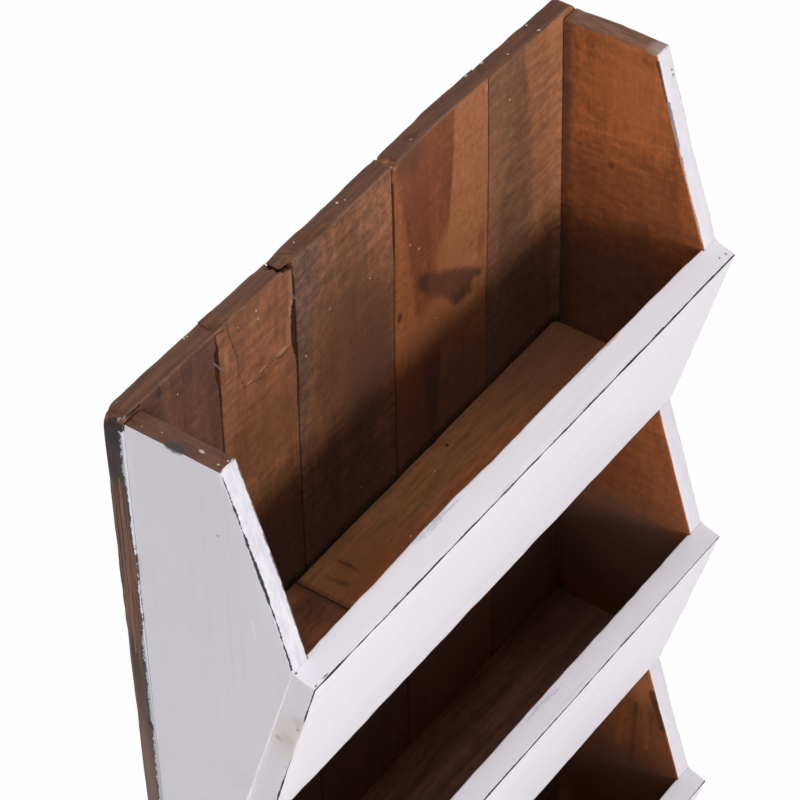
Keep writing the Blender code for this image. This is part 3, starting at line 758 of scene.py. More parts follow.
hangerLook = dict(
    margin=0.0005, slope=0.0008, pocketHalf=0.0055, pocketLow=-0.0132, pocketHigh=0.0055, pocketDepth=0.005,
    fineStep=0.0008, fineMargin=0.002, seat=0.0003, nailMargin=0.01)
nailLook = dict(dentRadius=0.0026, dentRim=(1.35, 0.85), backDent=0.001, filledDent=0.00025, stretch=0.0045)


# Where and how wide the painted light patch in the middle pocket lies.
paintedFillLook = dict(outerFrom=0.12, width=0.06, outerWidth=0.034, drawnIn=0.93)


# Dirt and painted shade on the planks just over the top floor: a darker patch, partly dirt and partly
# painted shade, and a dark line of painted shadow in the crease along the floor. In the next pocket a
# lighter, greyer patch is painted light that lifts the shade, narrower on the outer planks.
def paintedShadeLightAndDirt(x):
    look = paintedFillLook
    wide = look["width"] if abs(x) < look["outerFrom"] else look["outerWidth"]
    # Dirt with painted shade, a painted shadow line in the crease, and a painted light patch lower down.
    return [
        dab(onPlank(x, -0.16), (0.07, 0.0065, 0.06), (0.06, 0.04, 0.041), 0.65, 0.5),
        dab(onPlank(x, -0.165), (0.07, 0.0055, 0.0045), (0.02, 0.011, 0.009), 0.9, 0.5),
        dab(onPlank(look["drawnIn"] * x, -0.365), (wide, 0.0065, 0.042), (0.24, 0.15, 0.11), 0.65, 0.5)]


speckLook = dict(perMetre=80, size=0.055, chance=0.35, colour=(0.54, 0.5, 0.49))
lapLook = dict(
    ragged=(320, 560, 4, 0.75), patches=(40, 90, 3, 0.6), wobble=0.007, patchy=(0.6, 0.42, 0.0, 0.001),
    rim=(-0.001, -0.0004), coat=(0.0, 0.0003))


def timberMaterial(name, look, smeared=False):
    material, tree, shader, place = freshMaterial(name, timberFinish)
    colour, height = timberColour(tree, place, look)
    dots = specks(tree, place, speckLook["perMetre"], speckLook["size"], speckLook["chance"])
    if smeared:                                   # paint lapped onto the edge beside the side panel
        ragged = layer(tree, place, "z", look["shift"], *lapLook["ragged"])
        inset = calc(tree, "SUBTRACT", mark(tree, "paintLap"), lapLook["wobble"] / 2)
        lapped = calc(tree, "MULTIPLY_ADD", ragged, lapLook["wobble"], inset)
        patches = layer(tree, place, "z", look["shift"], *lapLook["patches"])
        lapped = calc(tree, "SUBTRACT", lapped, ramp(tree, patches, *lapLook["patchy"]))
        colour = blend(tree, ramp(tree, lapped, *lapLook["rim"]), colour, whitePaint["charcoal"])
        colour = blend(tree, ramp(tree, lapped, *lapLook["coat"]), colour, whitePaint["lap"])
    colour = blend(tree, dots, colour, speckLook["colour"])
    finishMaterial(tree, shader, colour, height, timberFinish)
    return material


# How far the planks' fronts are dished over the top floor: more towards the right, deepest at the floor.
def hollowAt(x, z):
    look = plankLook
    half = look["hollowHalf"]
    level = smoothRamp(z, *look["hollowRise"]) * smoothRamp(z, *look["hollowFoot"])
    level *= smoothRamp(np.abs(x), half, half - look["hollowEnd"])
    return np.interp(x, (-half, half), look["hollow"]) * level


# The quarter of a square beyond a corner's centre, drawn in to a quarter of a disc.
def roundCorner(places, cornerX, cornerZ, radius, side):
    u = np.clip((places[:, 0] - cornerX) * side / radius + 1, 0, 1)
    v = np.clip((places[:, 2] - cornerZ) / radius + 1, 0, 1)
    places[:, 0] += side * radius * (u * np.sqrt(1 - v * v / 2) - u)
    places[:, 2] += radius * (v * np.sqrt(1 - u * u / 2) - v)


# Round dents: points within the radius of a spot move straight in by the depth.
def pressIn(skin, spots, inward, depth):
    radius = nailLook["dentRadius"]
    for spot in spots:
        away = np.linalg.norm(skin["places"] - spot, axis=1)
        share = smoothRamp(away, *(part * radius for part in nailLook["dentRim"]))
        skin["places"] = skin["places"] + share[:, None] * np.array(inward) * depth


# Middles of the CAD nodes whose names start with a word and whose place passes a test.
def nodeMiddles(start, test):
    boxes = [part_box(name) for name in sorted(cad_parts) if name.startswith(start)]
    middles = [(low + high) / 2 for low, high in boxes]
    return [middle for middle in middles if test(middle)]


# Fine stretches, each as long as a nail dent, round the given positions.
def dentStretches(positions, step):
    half = nailLook["stretch"]
    kept = []
    for at in sorted(set(round(p, 5) for p in positions)):
        if not kept or at - half > kept[-1][1]:
            kept.append((at - half, at + half, step))
    return kept


# The bed of a keyhole plate: a round-ended recess in the back, and a deeper box behind the keyhole.
def sinkHanger(skin, node):
    look = hangerLook
    low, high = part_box(node)
    middle = (low + high) / 2
    halfWidth = (high.x - low.x) / 2
    straight = (high.z - low.z) / 2 - halfWidth
    places = skin["places"]
    across = places[:, 0] - middle.x
    along = np.maximum(np.abs(places[:, 2] - middle.z) - straight, 0)
    rim = np.hypot(across, along) - halfWidth - look["margin"]
    bed = smoothRamp(rim, look["slope"], 0) * (look["seat"] - low.y)
    beyond = np.maximum(look["pocketLow"] - places[:, 2], places[:, 2] - look["pocketHigh"])
    inBox = np.maximum(np.abs(across) - look["pocketHalf"], beyond)
    pocket = smoothRamp(inBox, look["slope"] / 2, -look["slope"] / 2) * look["pocketDepth"]
    onBack = skin["gaps"][:, 0, 1] < flush
    places[:, 1] += np.where(onBack, bed + pocket, 0)


endFade = (1.2, 0.3)                              # where end grain begins and is full, in arris radii
sawnFade = (0.6, 0.9)                             # how square to the axis a sawn face begins and is full


# How far a point is onto the end grain: 1 on the end faces, fading over an arris.
def endGrainMark(skin, axis, arris):
    begins, full = (part * arris for part in endFade)
    return smoothRamp(skin["gaps"][:, :, axis].min(1), begins, full)


# Which points lie on a board's wide faces, square to the given axis.
def sawnMark(skin, axis):
    return smoothRamp(np.abs(skin["outward"][:, axis]), *sawnFade)


# Where a plank's grid is fine: round its nail dents and hanger plate, and over the stretch that shows most.
def plankStretches(high, nails, plates, number):
    look = plankLook
    topFrom = high.z - look["topStretch"]
    fineX = dentStretches([nail.x for nail in nails], look["fineStep"])
    fineZ = dentStretches([nail.z for nail in nails if nail.z < topFrom], look["fineStep"])
    edges = [topFrom]
    steps = [look["step"]]
    if plankTimbers[number].get("crack"):
        edges.append(0.0)
        steps.append(look["fineStep"])
    for plate in plates:
        plateLow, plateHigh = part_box(plate)
        margin = hangerLook["fineMargin"]
        left, right = plateLow.x - hangerLook["nailMargin"], plateHigh.x + hangerLook["nailMargin"]
        clear = [nail.x for nail in nails if not left < nail.x < right]
        fineX = dentStretches(clear, look["fineStep"])
        fineX = sorted(fineX + [(plateLow.x - margin, plateHigh.x + margin, hangerLook["fineStep"])])
        edges += [plateLow.z - margin, plateHigh.z + margin]
        steps += [hangerLook["fineStep"], look["step"]]
    edges.append(high.z)
    return fineX, fineZ + list(zip(edges, edges[1:], steps))


def addPlank(number):
    node = "back_plank_" + str(number)
    low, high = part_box(node)
    look = plankLook
    timber = plankTimbers[number]
    thickness = high.y - low.y
    inThis = lambda middle: low.x < middle.x < high.x
    nails = nodeMiddles("floor_nail", inThis) + nodeMiddles("plank_nail", inThis)
    plates = [name for name in ("hanger_plate_left", "hanger_plate_right") if inThis(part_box(name)[0])]
    fineX, fineZ = plankStretches(high, nails, plates, number)
    crack = timber.get("crack")
    xs = ticksAlong(low.x, high.x, look["arris"], look["fineStep"] if crack else look["step"], fineX)
    shares = ticksAlong(0, 1, look["arris"] / thickness, look["depthShare"])
    zs = ticksAlong(low.z, high.z, look["arris"], look["lowStep"], fineZ)
    skin = slabSkin(xs, shares, zs, lambda z: np.full(len(z), thickness), look["arris"])
    pressIn(skin, [(nail.x, 0, nail.z) for nail in nails], (0, 1, 0), nailLook["backDent"])
    for plate in plates:
        sinkHanger(skin, plate)
    outer = number in (1, 5)
    side, corner = (-1, low.x) if number == 1 else (1, high.x)
    edgeGap = skin["gaps"][:, 0 if number == 1 else 1, 0]
    frontGap, topGap = skin["gaps"][:, 1, 1], skin["gaps"][:, 1, 2]
    rubShare = smoothRamp(np.hypot(edgeGap, frontGap), *look["unrubbed"]) if outer else 1.0
    if outer:
        seat = look["seat"]
        squareUp(skin, (low.x, 0, low.z), (edgeGap < seat) & (frontGap < seat) & (topGap > seat))
    weather(skin, look, look["waveLengths"], look["waveSeed"] * number, rubShare)
    if crack:
        cutCrack(skin, crack, number)
    places = skin["places"]
    acrossShare = (places[:, 0] - low.x) / (high.x - low.x)
    nearTop = smoothRamp(places[:, 2], high.z - look["topBlend"], high.z)
    places[:, 2] += nearTop * np.interp(acrossShare, np.linspace(0, 1, 3), timber["topRise"])
    if "outerSwell" in timber:                    # the outer edge stands a little proud towards the top
        swell = timber["outerSwell"] * smoothRamp(places[:, 2], *look["swellRise"])
        places[:, 0] -= swell * (1 - np.clip(acrossShare, 0, 1))
    places[:, 1] -= hollowAt(places[:, 0], places[:, 2]) * np.clip(places[:, 1] / thickness, 0, 1)
    if number < 5:                                # behind the joint a lip closes the gap to the next plank
        atRight = smoothRamp(skin["gaps"][:, 1, 0], *look["lipEdge"])
        places[:, 0] += look["lip"] * atRight * smoothRamp(places[:, 1], *look["lipReach"])
    # Lumps come off last. The marks go by the places as they were before that.
    breakOut(skin, plankBites[number], look["biteSeed"] * number)
    marks = dict(endGrain=endGrainMark(skin, 2, look["arris"]), sawnFace=sawnMark(skin, 1))
    # Where the arris is paler: partly wear, partly a painted highlight.
    marks["wearAndHighlightArris"] = smoothRamp(np.hypot(topGap, frontGap), *look["wearAndHighlightReach"])
    if "knot" in timber:
        onFront = sawnMark(skin, 1) * (skin["outward"][:, 1] > 0)
        knotDepth = outlineDepth(places[:, [0, 2]], timber["knot"])
        marks["knotDepth"] = np.where(onFront > 0.5, knotDepth, look["notMarked"])
    if outer:
        roundCorner(skin["places"], corner, high.z, look["cornerRadius"], side)
        onEdge = smoothRamp(edgeGap, *look["edgeReach"])
        marks["sawnEdge"] = onEdge * (1 - marks["endGrain"])
        lap = np.interp(places[:, 2], look["lapHeights"], look["lapWidths"])
        lap = lap - np.where(edgeGap < flush, frontGap, -look["lapOver"])
        covered = (edgeGap < look["lapStrip"]) & (frontGap < thickness - flush)
        covered &= places[:, 2] < look["lapTop"]
        marks["paintLap"] = np.where(covered, lap, look["notMarked"])
    timber = dict(timber, dabs=timber.get("dabs", []) + paintedShadeLightAndDirt((low.x + high.x) / 2))
    if number in look["darkJoints"]:              # the joint to the plank on the left is a dark gap
        ends = [onPlank(low.x, z) for z in (look["jointFrom"], look["jointTo"])]
        joint = scored(look["jointLine"], crackDark, look["jointStrength"], *ends)
        timber["lines"] = timber.get("lines", []) + [joint]
    if crack:
        along = [onPlank(x, z) for x, z in crack]
        crackLine = scored(crackLook["line"], crackLook["colour"], crackLook["strength"], *along)
        timber["lines"] = timber["lines"] + [crackLine]
    material = timberMaterial("plankTimber" + str(number), timber, outer)
    placed = upright(skin["places"], high.y)
    addPiece("plankBoard" + str(number), placed, skin["quads"], marks, material, "brown_wood", node)


for number in range(1, 6):
    addPlank(number)


# The bow swells a board's inner face towards the wall near its top, at the given shares of the
# opening's width.
frontBoardLook = dict(
    lean=math.radians(16.7), arris=0.0008, wave=0.0002, rub=0.0006, rubWidth=0.0018,
    rubLength=(0.014, 0.01, 0.01), step=0.003, fineStep=0.0009, pockets=("top", "middle", "bottom"),
    endRub=-0.00005, bowHalf=0.1868, bowEdge=0.1862,
    bowShares=(0.0, 0.0016, 0.04, 0.17, 0.3, 0.37, 0.45, 0.6, 0.95, 0.9984, 1.0),
    bow=dict(top=(0, 0.0021, 0.0026, 0.0031, 0.0042, 0.0043, 0.0035, 0.0034, 0.0024, 0.0014, 0),
             middle=(0, 0.0004, 0.0004, 0.0005, 0.0008, 0.0009, 0.0012, 0.0014, 0.0013, 0.0013, 0),
             bottom=(0, 0.0004, 0.0004, 0.0006, 0.001, 0.0009, 0.0008, 0.0008, 0.0009, 0.001, 0)),
    bowRise=(-0.09, 0), swell=0.0014, slantEnd=0.0022, slantReach=0.02, shortEnd=0.0012, shortReach=0.01,
    seat=0.002, unrubbed=(0.002, 0.006), innerLap=0.0012, endLap=0.002, overlap=0.0005, flushStrip=0.003,
    seed=31, depthShare=0.1, waveLengths=(0.15, 0.04, 0.04))


# A leaning board's inner top edge, thickness and height from its box: the box is as deep as
# thickness * cos + height * sin, and as tall as thickness * sin + height * cos.
def leaningBoard(pocket):
    low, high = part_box("front_board_" + pocket)
    lean = frontBoardLook["lean"]
    deep = high.y - low.y
    tall = high.z - low.z
    thickness = (deep * math.cos(lean) - tall * math.sin(lean)) / math.cos(2 * lean)
    height = (tall * math.cos(lean) - deep * math.sin(lean)) / math.cos(2 * lean)
    edge = Vector((0, low.y + thickness * math.cos(lean), high.z))
    return edge, thickness, height


sideLook = dict(
    arris=0.0008, wave=0.00018, rub=0.0006, rubWidth=0.0018, rubLength=(0.012, 0.012, 0.022),
    step=0.0022, fineStep=0.0009, fitGap=0.00005, topBlend=0.03, rubOffset=0.0003,
    waveLengths=(0.04, 0.04, 0.15), arrisReach=0.075, stepReach=0.085, dentReach=0.065, dentShare=0.07,
    seat=0.002, unrubbed=(0.002, 0.006), steep=4, innerBare=0.003, backLap=0.0045, topEdge=0.001,
    topClear=0.0025, unworn=0.01, probe=0.0002, seed=dict(left=5, right=8),
    mouth=dict(left=[(0.06, 0.06), (-0.03, 0.0886)], right=[(0.06, 0.0614), (0.0, 0.078)]),
    topRise=dict(left=(-0.0002, -0.0003, -0.0006), right=(0.0002, 0.0018, 0.0016)))


# How far the side's front edge lies from its back edge at each height: out along each mouth to the lip,
# in behind the front board, and out again under the board.
def sideReach(side):
    low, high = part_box("side_" + side)
    lean = frontBoardLook["lean"]
    knots = list(sideLook["mouth"][side])
    for pocket in frontBoardLook["pockets"]:
        edge, thickness, height = leaningBoard(pocket)
        lip = high.y - edge.y
        gap = sideLook["fitGap"]
        knots.append((edge.z, lip - gap))
        inner = (edge.z - height * math.cos(lean), lip - height * math.sin(lean) - gap)
        knots.append(inner)
        knots.append((inner[0] - thickness * math.sin(lean), inner[1] + thickness * math.cos(lean)))
    knots.append((low.z, knots[-1][1]))
    heights, reaches = np.array(knots[::-1]).T
    return heights, reaches


tanStain = (0.68, 0.6, 0.56)
knotDark = (0.075, 0.026, 0.012)

# The left mouth edge has lost its paint along the inner arris between these heights.
wornStretches = [
    (0.055, 0.049), (0.043, 0.04), (0.034, 0.021), (0.015, 0.01), (0.004, -0.009), (-0.015, -0.018),
    (-0.024, -0.04), (-0.045, -0.052)]
wornLook = dict(
    width=0.0011, colour=(0.12, 0.07, 0.05), strength=0.8, x=-0.1877, reach=0.0791, slope=0.3178)


# The mouth edge runs back as it rises: its reach is less by slope times the height.
def wornScores():
    look = wornLook
    scores = []
    for ends in wornStretches:
        along = onMouth(look["x"], *((look["reach"] - look["slope"] * z, z) for z in ends))
        scores.append(scored(look["width"], look["colour"], look["strength"], *along))
    return scores


sideTimbers = {
    "left": dict(
        timberBase, across="y", strokeTurn=(math.radians(5), 0, 0), shift=(2.2, 5.4, 0.9),
        endScale=(420, 60, 420), dark=(0.1, 0.045, 0.028), light=(0.19, 0.085, 0.045), topLap=0.0015,
        rub=dict(least=0.00042, most=0.0012, ragged=0.95, rim=0.95, rimWidth=0.0024), coat=1.0,
        marks=[
            dab(onSideTop(-0.1985, 0.031), (0.0032, 0.0066, 0.003), (0.026, 0.024, 0.028), 0.85, 0.25,
                torn=True),
            *(dab(onSideTop(x, reach), (wide, deep, 0.002), paintFleck, strength, 0.5)
              for x, reach, wide, deep, strength in (
                  (-0.1931, 0.0433, 0.0009, 0.0016, 0.85), (-0.1958, 0.0553, 0.0006, 0.0007, 0.7),
                  (-0.1909, 0.0576, 0.0005, 0.0006, 0.7), (-0.1938, 0.0191, 0.0004, 0.0004, 0.6),
                  (-0.1961, 0.0084, 0.0003, 0.0004, 0.6))),
            dab(onLeft(0.0356, -0.0598), (0.004, 0.01, 0.013), (0.62, 0.61, 0.66), 0.22, 0.6),
            dab(onLeft(0.0565, -0.1701), (0.005, 0.009, 0.01), tanStain, 0.2, 0.6),
            dab(onLeft(0.0551, 0.0132), (0.002, 0.0008, 0.0009), (0.3, 0.29, 0.31), 0.7)],
        scores=[
            scored(0.0008, (0.88, 0.87, 0.89), 0.8, onLeft(0.0725, -0.037), onLeft(0.0742, -0.05)),
            scored(0.0008, smokeDark, 0.7, onLeft(0.02, 0.0597), onLeft(0.05, 0.0595)),
            *wornScores()]),
    "right": dict(
        timberBase, across="y", strokeTurn=(math.radians(-3), 0, 0), shift=(4.8, 7.7, 2.9),
        endScale=(420, 60, 420), dark=(0.245, 0.077, 0.026), light=(0.4, 0.124, 0.04), topLap=0.0012,
        stroke=0.3, pore=0.14, fibre=0.35, speckle=0.16, scratch=0.3, rough=0.55,
        endDark=(0.098, 0.043, 0.024), endLight=(0.225, 0.102, 0.058),
        rub=dict(least=0.0, most=0.0004, ragged=0.5, rim=0.95, rimWidth=0.0009), coat=0.3,
        streaks=[
            dict(low=backLine - 0.006, high=0.02, soft=0.0024, wobble=0.008, torn=0.006,
                 colour=(0.095, 0.044, 0.026), strength=0.75)],
        dabs=[
            dab(onRight(0.0542, 0.0548), (0.004, 0.0019, 0.0026), knotDark, 0.85, 0.5),
            dab(onRight(0.0337, -0.0292), (0.004, 0.0022, 0.0024), knotDark, 0.75, 0.6),
            dab(onRight(0.0201, 0.051), (0.004, 0.0008, 0.0012), knotDark, 0.7, 0.5),
            dab(onRight(0.0554, 0.035), (0.006, 0.005, 0.004), (0.15, 0.054, 0.024), 0.5, 0.6),
            *(dab(onRight(reach, z), (0.003, deep, tall), (0.075, 0.043, 0.028), 0.12, 0.6, torn=True)
              for reach, z, deep, tall in (
                  (0.002, 0.036, 0.004, 0.013), (0.003, 0.006, 0.0045, 0.012),
                  (0.002, -0.024, 0.004, 0.014))),
            # Painted shade: the dabs at z -0.135, -0.048, -0.3, -0.345, -0.5 and -0.56 darken the inner
            # face lower down in each pocket.
            dab(onRight(0.048, -0.135), (0.006, 0.07, 0.06), (0.078, 0.042, 0.032), 0.7, 0.45),
            dab(onRight(0.05, -0.048), (0.006, 0.06, 0.028), (0.2, 0.062, 0.022), 0.5, 0.5),
            dab(onRight(0.052, -0.3), (0.02, 0.08, 0.09), (0.2, 0.066, 0.026), 0.5, 0.4),
            dab(onRight(0.055, -0.345), (0.006, 0.07, 0.05), (0.135, 0.08, 0.062), 0.85, 0.4),
            dab(onRight(0.052, -0.5), (0.02, 0.08, 0.11), (0.13, 0.042, 0.018), 0.8, 0.4),
            dab(onRight(0.066, -0.446), (0.006, 0.013, 0.02), (0.36, 0.135, 0.055), 0.85, 0.6),
            dab(onRight(0.05, -0.56), (0.006, 0.06, 0.045), (0.06, 0.027, 0.018), 0.8, 0.5),
            # Painted light: a brighter dab high on the inner face near the front, where the lamp falls.
            dab(onRight(0.05, 0.03), (0.006, 0.028, 0.03), (0.48, 0.152, 0.05), 0.6, 0.6)],
        lines=[
            scored(0.0014, (0.5, 0.2, 0.08), 0.26, onRight(0.0054, -0.0126), onRight(0.0719, 0.0002)),
            scored(0.0013, (0.48, 0.19, 0.078), 0.22, onRight(0.0056, -0.0252), onRight(0.0603, -0.0235)),
            scored(0.0013, (0.48, 0.19, 0.078), 0.22, onRight(0.0163, -0.0305), onRight(0.0311, -0.0281)),
            scored(0.0032, (0.035, 0.014, 0.01), 0.7, onRight(0.0752, -0.453), onRight(0.0838, -0.483),
                   torn=True),
            scored(0.0026, (0.05, 0.018, 0.01), 0.5, onRight(0.063, -0.47), onRight(0.06, -0.53),
                   torn=True),
            scored(0.003, (0.24, 0.072, 0.026), 0.5, onRight(0.054, -0.472), onRight(0.05, -0.518),
                   torn=True),
            scored(0.003, (0.26, 0.082, 0.03), 0.5, onRight(0.07, -0.472), onRight(0.072, -0.508),
                   torn=True),
            scored(0.001, (0.56, 0.33, 0.19), 0.6, onRight(0.0725, 0.02), onRight(0.095, -0.057))],
        marks=[
            dab(*onMouth(0.197, (0.0649, 0.0475)), (0.0007, 0.003, 0.0008), smokeDark, 0.9),
            dab(*onMouth(0.1972, (0.0658, 0.0443)), (0.0007, 0.003, 0.0008), smokeDark, 0.9),
            dab(*onMouth(0.195, (0.059, 0.0615)), (0.007, 0.006, 0.0014), (0.47, 0.38, 0.345), 0.55, 0.6,
                torn=True)],
        scores=[
            scored(0.0024, (0.034, 0.019, 0.014), 0.9,
                   *onMouth(0.1865, (0.0625, 0.057), (0.066, 0.046), (0.0695, 0.0335))),
            scored(0.0015, (0.11, 0.125, 0.18), 0.85,
                   *onMouth(0.1883, (0.0692, 0.031), (0.0797, -0.002), (0.0915, -0.039)))]),
}


def sideMaterial(side):
    look = sideTimbers[side]
    material, tree, shader, place = freshMaterial("sidePanelPaint" + side.capitalize(), paintFinish)
    timber = timberColour(tree, place, look)[0]
    colour, height = paintOver(tree, place, "z", look["shift"], timber, look["rub"])
    colour = overlay(tree, place, colour, look["marks"], look["scores"])
    finishMaterial(tree, shader, colour, height, paintFinish)
    return material


# Paint covers a side's outer face and front edge, and laps a little onto the front of its top edge.
# Gaps to the faces give how deep a point lies inside the painted area, below nothing outside it. The
# front arris is rubbed in the mouths of the pockets only, where no board covers it.
def sidePaint(skin, side, inMouth):
    gapLow, gapHigh = skin["gaps"][:, 0], skin["gaps"][:, 1]
    outer, inner = (gapLow[:, 0], gapHigh[:, 0]) if side == "left" else (gapHigh[:, 0], gapLow[:, 0])
    front, back, top = gapHigh[:, 1], gapLow[:, 1], gapHigh[:, 2]
    onOuter, onFront, onTop = outer < flush, front < flush, top < flush
    look, timber = sideLook, sideTimbers[side]
    steep = look["steep"]
    depth = np.where(onOuter, back + look["backLap"], -np.minimum(front, outer))
    depth = np.where(onFront, steep * inner - look["innerBare"], depth)
    depth = np.minimum(depth, steep * top + look["topEdge"])
    depth = np.where(onTop, np.maximum(-steep * outer - look["topEdge"], timber["topLap"] - front), depth)
    offset = look["rubOffset"]
    rubbed = np.where(onFront, np.abs(outer - offset), np.where(onOuter, front + offset, 1))
    rubbed = rubbed + np.maximum(0, look["topClear"] - top) + np.where(inMouth, 0, look["unworn"])
    # The front edge's thinner coat is darker, partly as painted shade.
    return dict(paintDepth=depth, rubbedArris=rubbed, thinCoatAndShade=np.where(onFront, timber["coat"], 0))


def addSide(side):
    node = "side_" + side
    low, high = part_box(node)
    look = sideLook
    heights, reaches = sideReach(side)
    reachAt = lambda z: np.interp(z, heights, reaches)
    outward = -1 if side == "left" else 1
    nails = nodeMiddles("side_nail", lambda middle: middle.x * outward > 0)
    dentShares = [(high.y - nail.y) / reachAt(nail.z) for nail in nails[:1]]
    half = look["dentShare"]
    fine = look["fineStep"] / look["dentReach"]
    fineShares = [(share - half, share + half, fine) for share in dentShares]
    fineZ = dentStretches([nail.z for nail in nails], look["fineStep"])
    xs = ticksAlong(low.x, high.x, look["arris"], look["step"])
    arrisShare, stepShare = look["arris"] / look["arrisReach"], look["step"] / look["stepReach"]
    shares = ticksAlong(0, 1, arrisShare, stepShare, fineShares)
    zs = ticksAlong(low.z, high.z, look["arris"], look["step"], fineZ)
    zs = np.unique(np.concatenate([zs, heights[1:-1]]).round(7))
    skin = slabSkin(xs, shares, zs, reachAt, look["arris"])
    level = skin["places"][:, 2]
    inMouth = reachAt(level + look["probe"]) < reachAt(level - look["probe"])
    outerGap = skin["gaps"][:, 0 if side == "left" else 1, 0]
    backGap, frontGap, topGap = skin["gaps"][:, 0, 1], skin["gaps"][:, 1, 1], skin["gaps"][:, 1, 2]
    seat = look["seat"]
    meets = ~inMouth & (frontGap < seat) | (backGap < seat) & (topGap > seat)
    squareUp(skin, (low.x, 0, low.z), (outerGap < seat) & meets)
    marks = sidePaint(skin, side, inMouth)
    marks["sawnFace"] = sawnMark(skin, 0)
    marks["endGrain"] = endGrainMark(skin, 2, look["arris"])
    outerX = low.x if side == "left" else high.x
    spots = [(outerX, high.y - nail.y, nail.z) for nail in nails]
    pressIn(skin, spots, (-outward, 0, 0), nailLook["filledDent"])
    rubShare = smoothRamp(backGap, *look["unrubbed"]) * np.where(inMouth, 1, 0)
    weather(skin, look, look["waveLengths"], look["seed"][side], rubShare)
    places = skin["places"]
    nearTop = smoothRamp(places[:, 2], high.z - look["topBlend"], high.z)
    places[:, 2] += nearTop * np.interp(places[:, 1], np.linspace(0, reaches[-1], 3), look["topRise"][side])
    placed = upright(places, high.y)
    name = "sidePanel" + side.capitalize()
    addPiece(name, placed, skin["quads"], marks, sideMaterial(side), "white_painted_wood", node)


for side in ("left", "right"):
    addSide(side)


frontTimber = dict(
    timberBase, axis="x", across="z", strokeTurn=(0, 0, 0), dark=(0.12, 0.05, 0.026),
    light=(0.21, 0.092, 0.046),
    rub=dict(least=0.0005, most=0.001, ragged=0.2, rim=0.7, rimWidth=0.0008))

frontShift = (1.7, 0.6, 2.2)                      # of the noise; x is per letter of the pocket's name
smearGrey = (0.5, 0.53, 0.61)
frontMarkLook = (0.8, 0.5)                        # strength and softness of every mark on the boards

# Marks on the boards, by x, the distance out from the inner top edge and the distance down the board.
frontMarks = {
    "top": [
        ((-0.1972, 0.0129, 0.0), (0.001, 0.0005), smokeDark),
        ((-0.1891, 0.0128, 0.0), (0.0022, 0.0005), smokeDark),
        ((-0.1983, 0.0009, 0.0), (0.001, 0.0006), smokeDark),
        ((-0.087, -0.0022, 0.0), (0.007, 0.0012), smearGrey),
        ((-0.074, -0.002, 0.0), (0.008, 0.0012), smearGrey),
        ((-0.06, -0.0018, 0.0), (0.008, 0.0009), smearGrey),
        ((-0.078, -0.0002, 0.0), (0.009, 0.0005), smearGrey),
        ((0.07, -0.0016, 0.0), (0.016, 0.0006), smearGrey),
        ((-0.11, -0.0024, 0.0), (0.006, 0.0006), (0.72, 0.62, 0.58)),
        ((-0.125, -0.0026, 0.0), (0.034, 0.0016), (0.79, 0.71, 0.69)),
        ((0.094, -0.0022, 0.0), (0.008, 0.0009), (0.62, 0.4, 0.27)),
        ((0.1944, 0.0103, 0.0), (0.0007, 0.0007), smokeDark),
        ((0.1893, 0.0093, 0.0), (0.0006, 0.0006), smokeDark),
        ((-0.2, 0.0115, 0.055), (0.003, 0.02), (0.76, 0.68, 0.65)),
        ((-0.2, 0.01, 0.056), (0.0026, 0.005), tanStain),
        ((-0.2, 0.0125, 0.036), (0.0022, 0.0045), tanStain),
        ((-0.2, 0.0042, 0.0595), (0.0022, 0.0019), (0.52, 0.39, 0.33)),
        ((-0.2, 0.0065, 0.061), (0.0024, 0.0017), tanStain),
        ((-0.2, 0.0128, 0.0415), (0.0016, 0.0008), smokeDark)],
    "middle": [((0.02, 0.0016, 0.0), (0.014, 0.0007), smearGrey),
               ((0.034, 0.003, 0.0), (0.01, 0.0005), smearGrey),
               ((-0.11, 0.01, 0.0), (0.01, 0.0006), smearGrey)],
    "bottom": [((-0.06, 0.0024, 0.0), (0.012, 0.0008), smearGrey)],
}


def frontMaterial(pocket, edge, turn):
    material, tree, shader, place = freshMaterial("frontBoardPaint" + pocket.capitalize(), paintFinish)
    along, *others = frontShift
    shift = (along * len(pocket), *others)
    look = dict(frontTimber, shift=shift)
    timber = timberColour(tree, place, look)[0]
    colour, height = paintOver(tree, place, "x", shift, timber, look["rub"])
    dabs = []
    for (x, out, down), (wide, deep), tint in frontMarks[pocket]:
        centre = edge + turn @ Vector((x, -out, -down))
        dabs.append(dab(tuple(centre), (wide, deep, deep), tint, *frontMarkLook, torn=tint == smearGrey))
    colour = overlay(tree, place, colour, dabs, [])
    finishMaterial(tree, shader, colour, height, paintFinish)
    return material


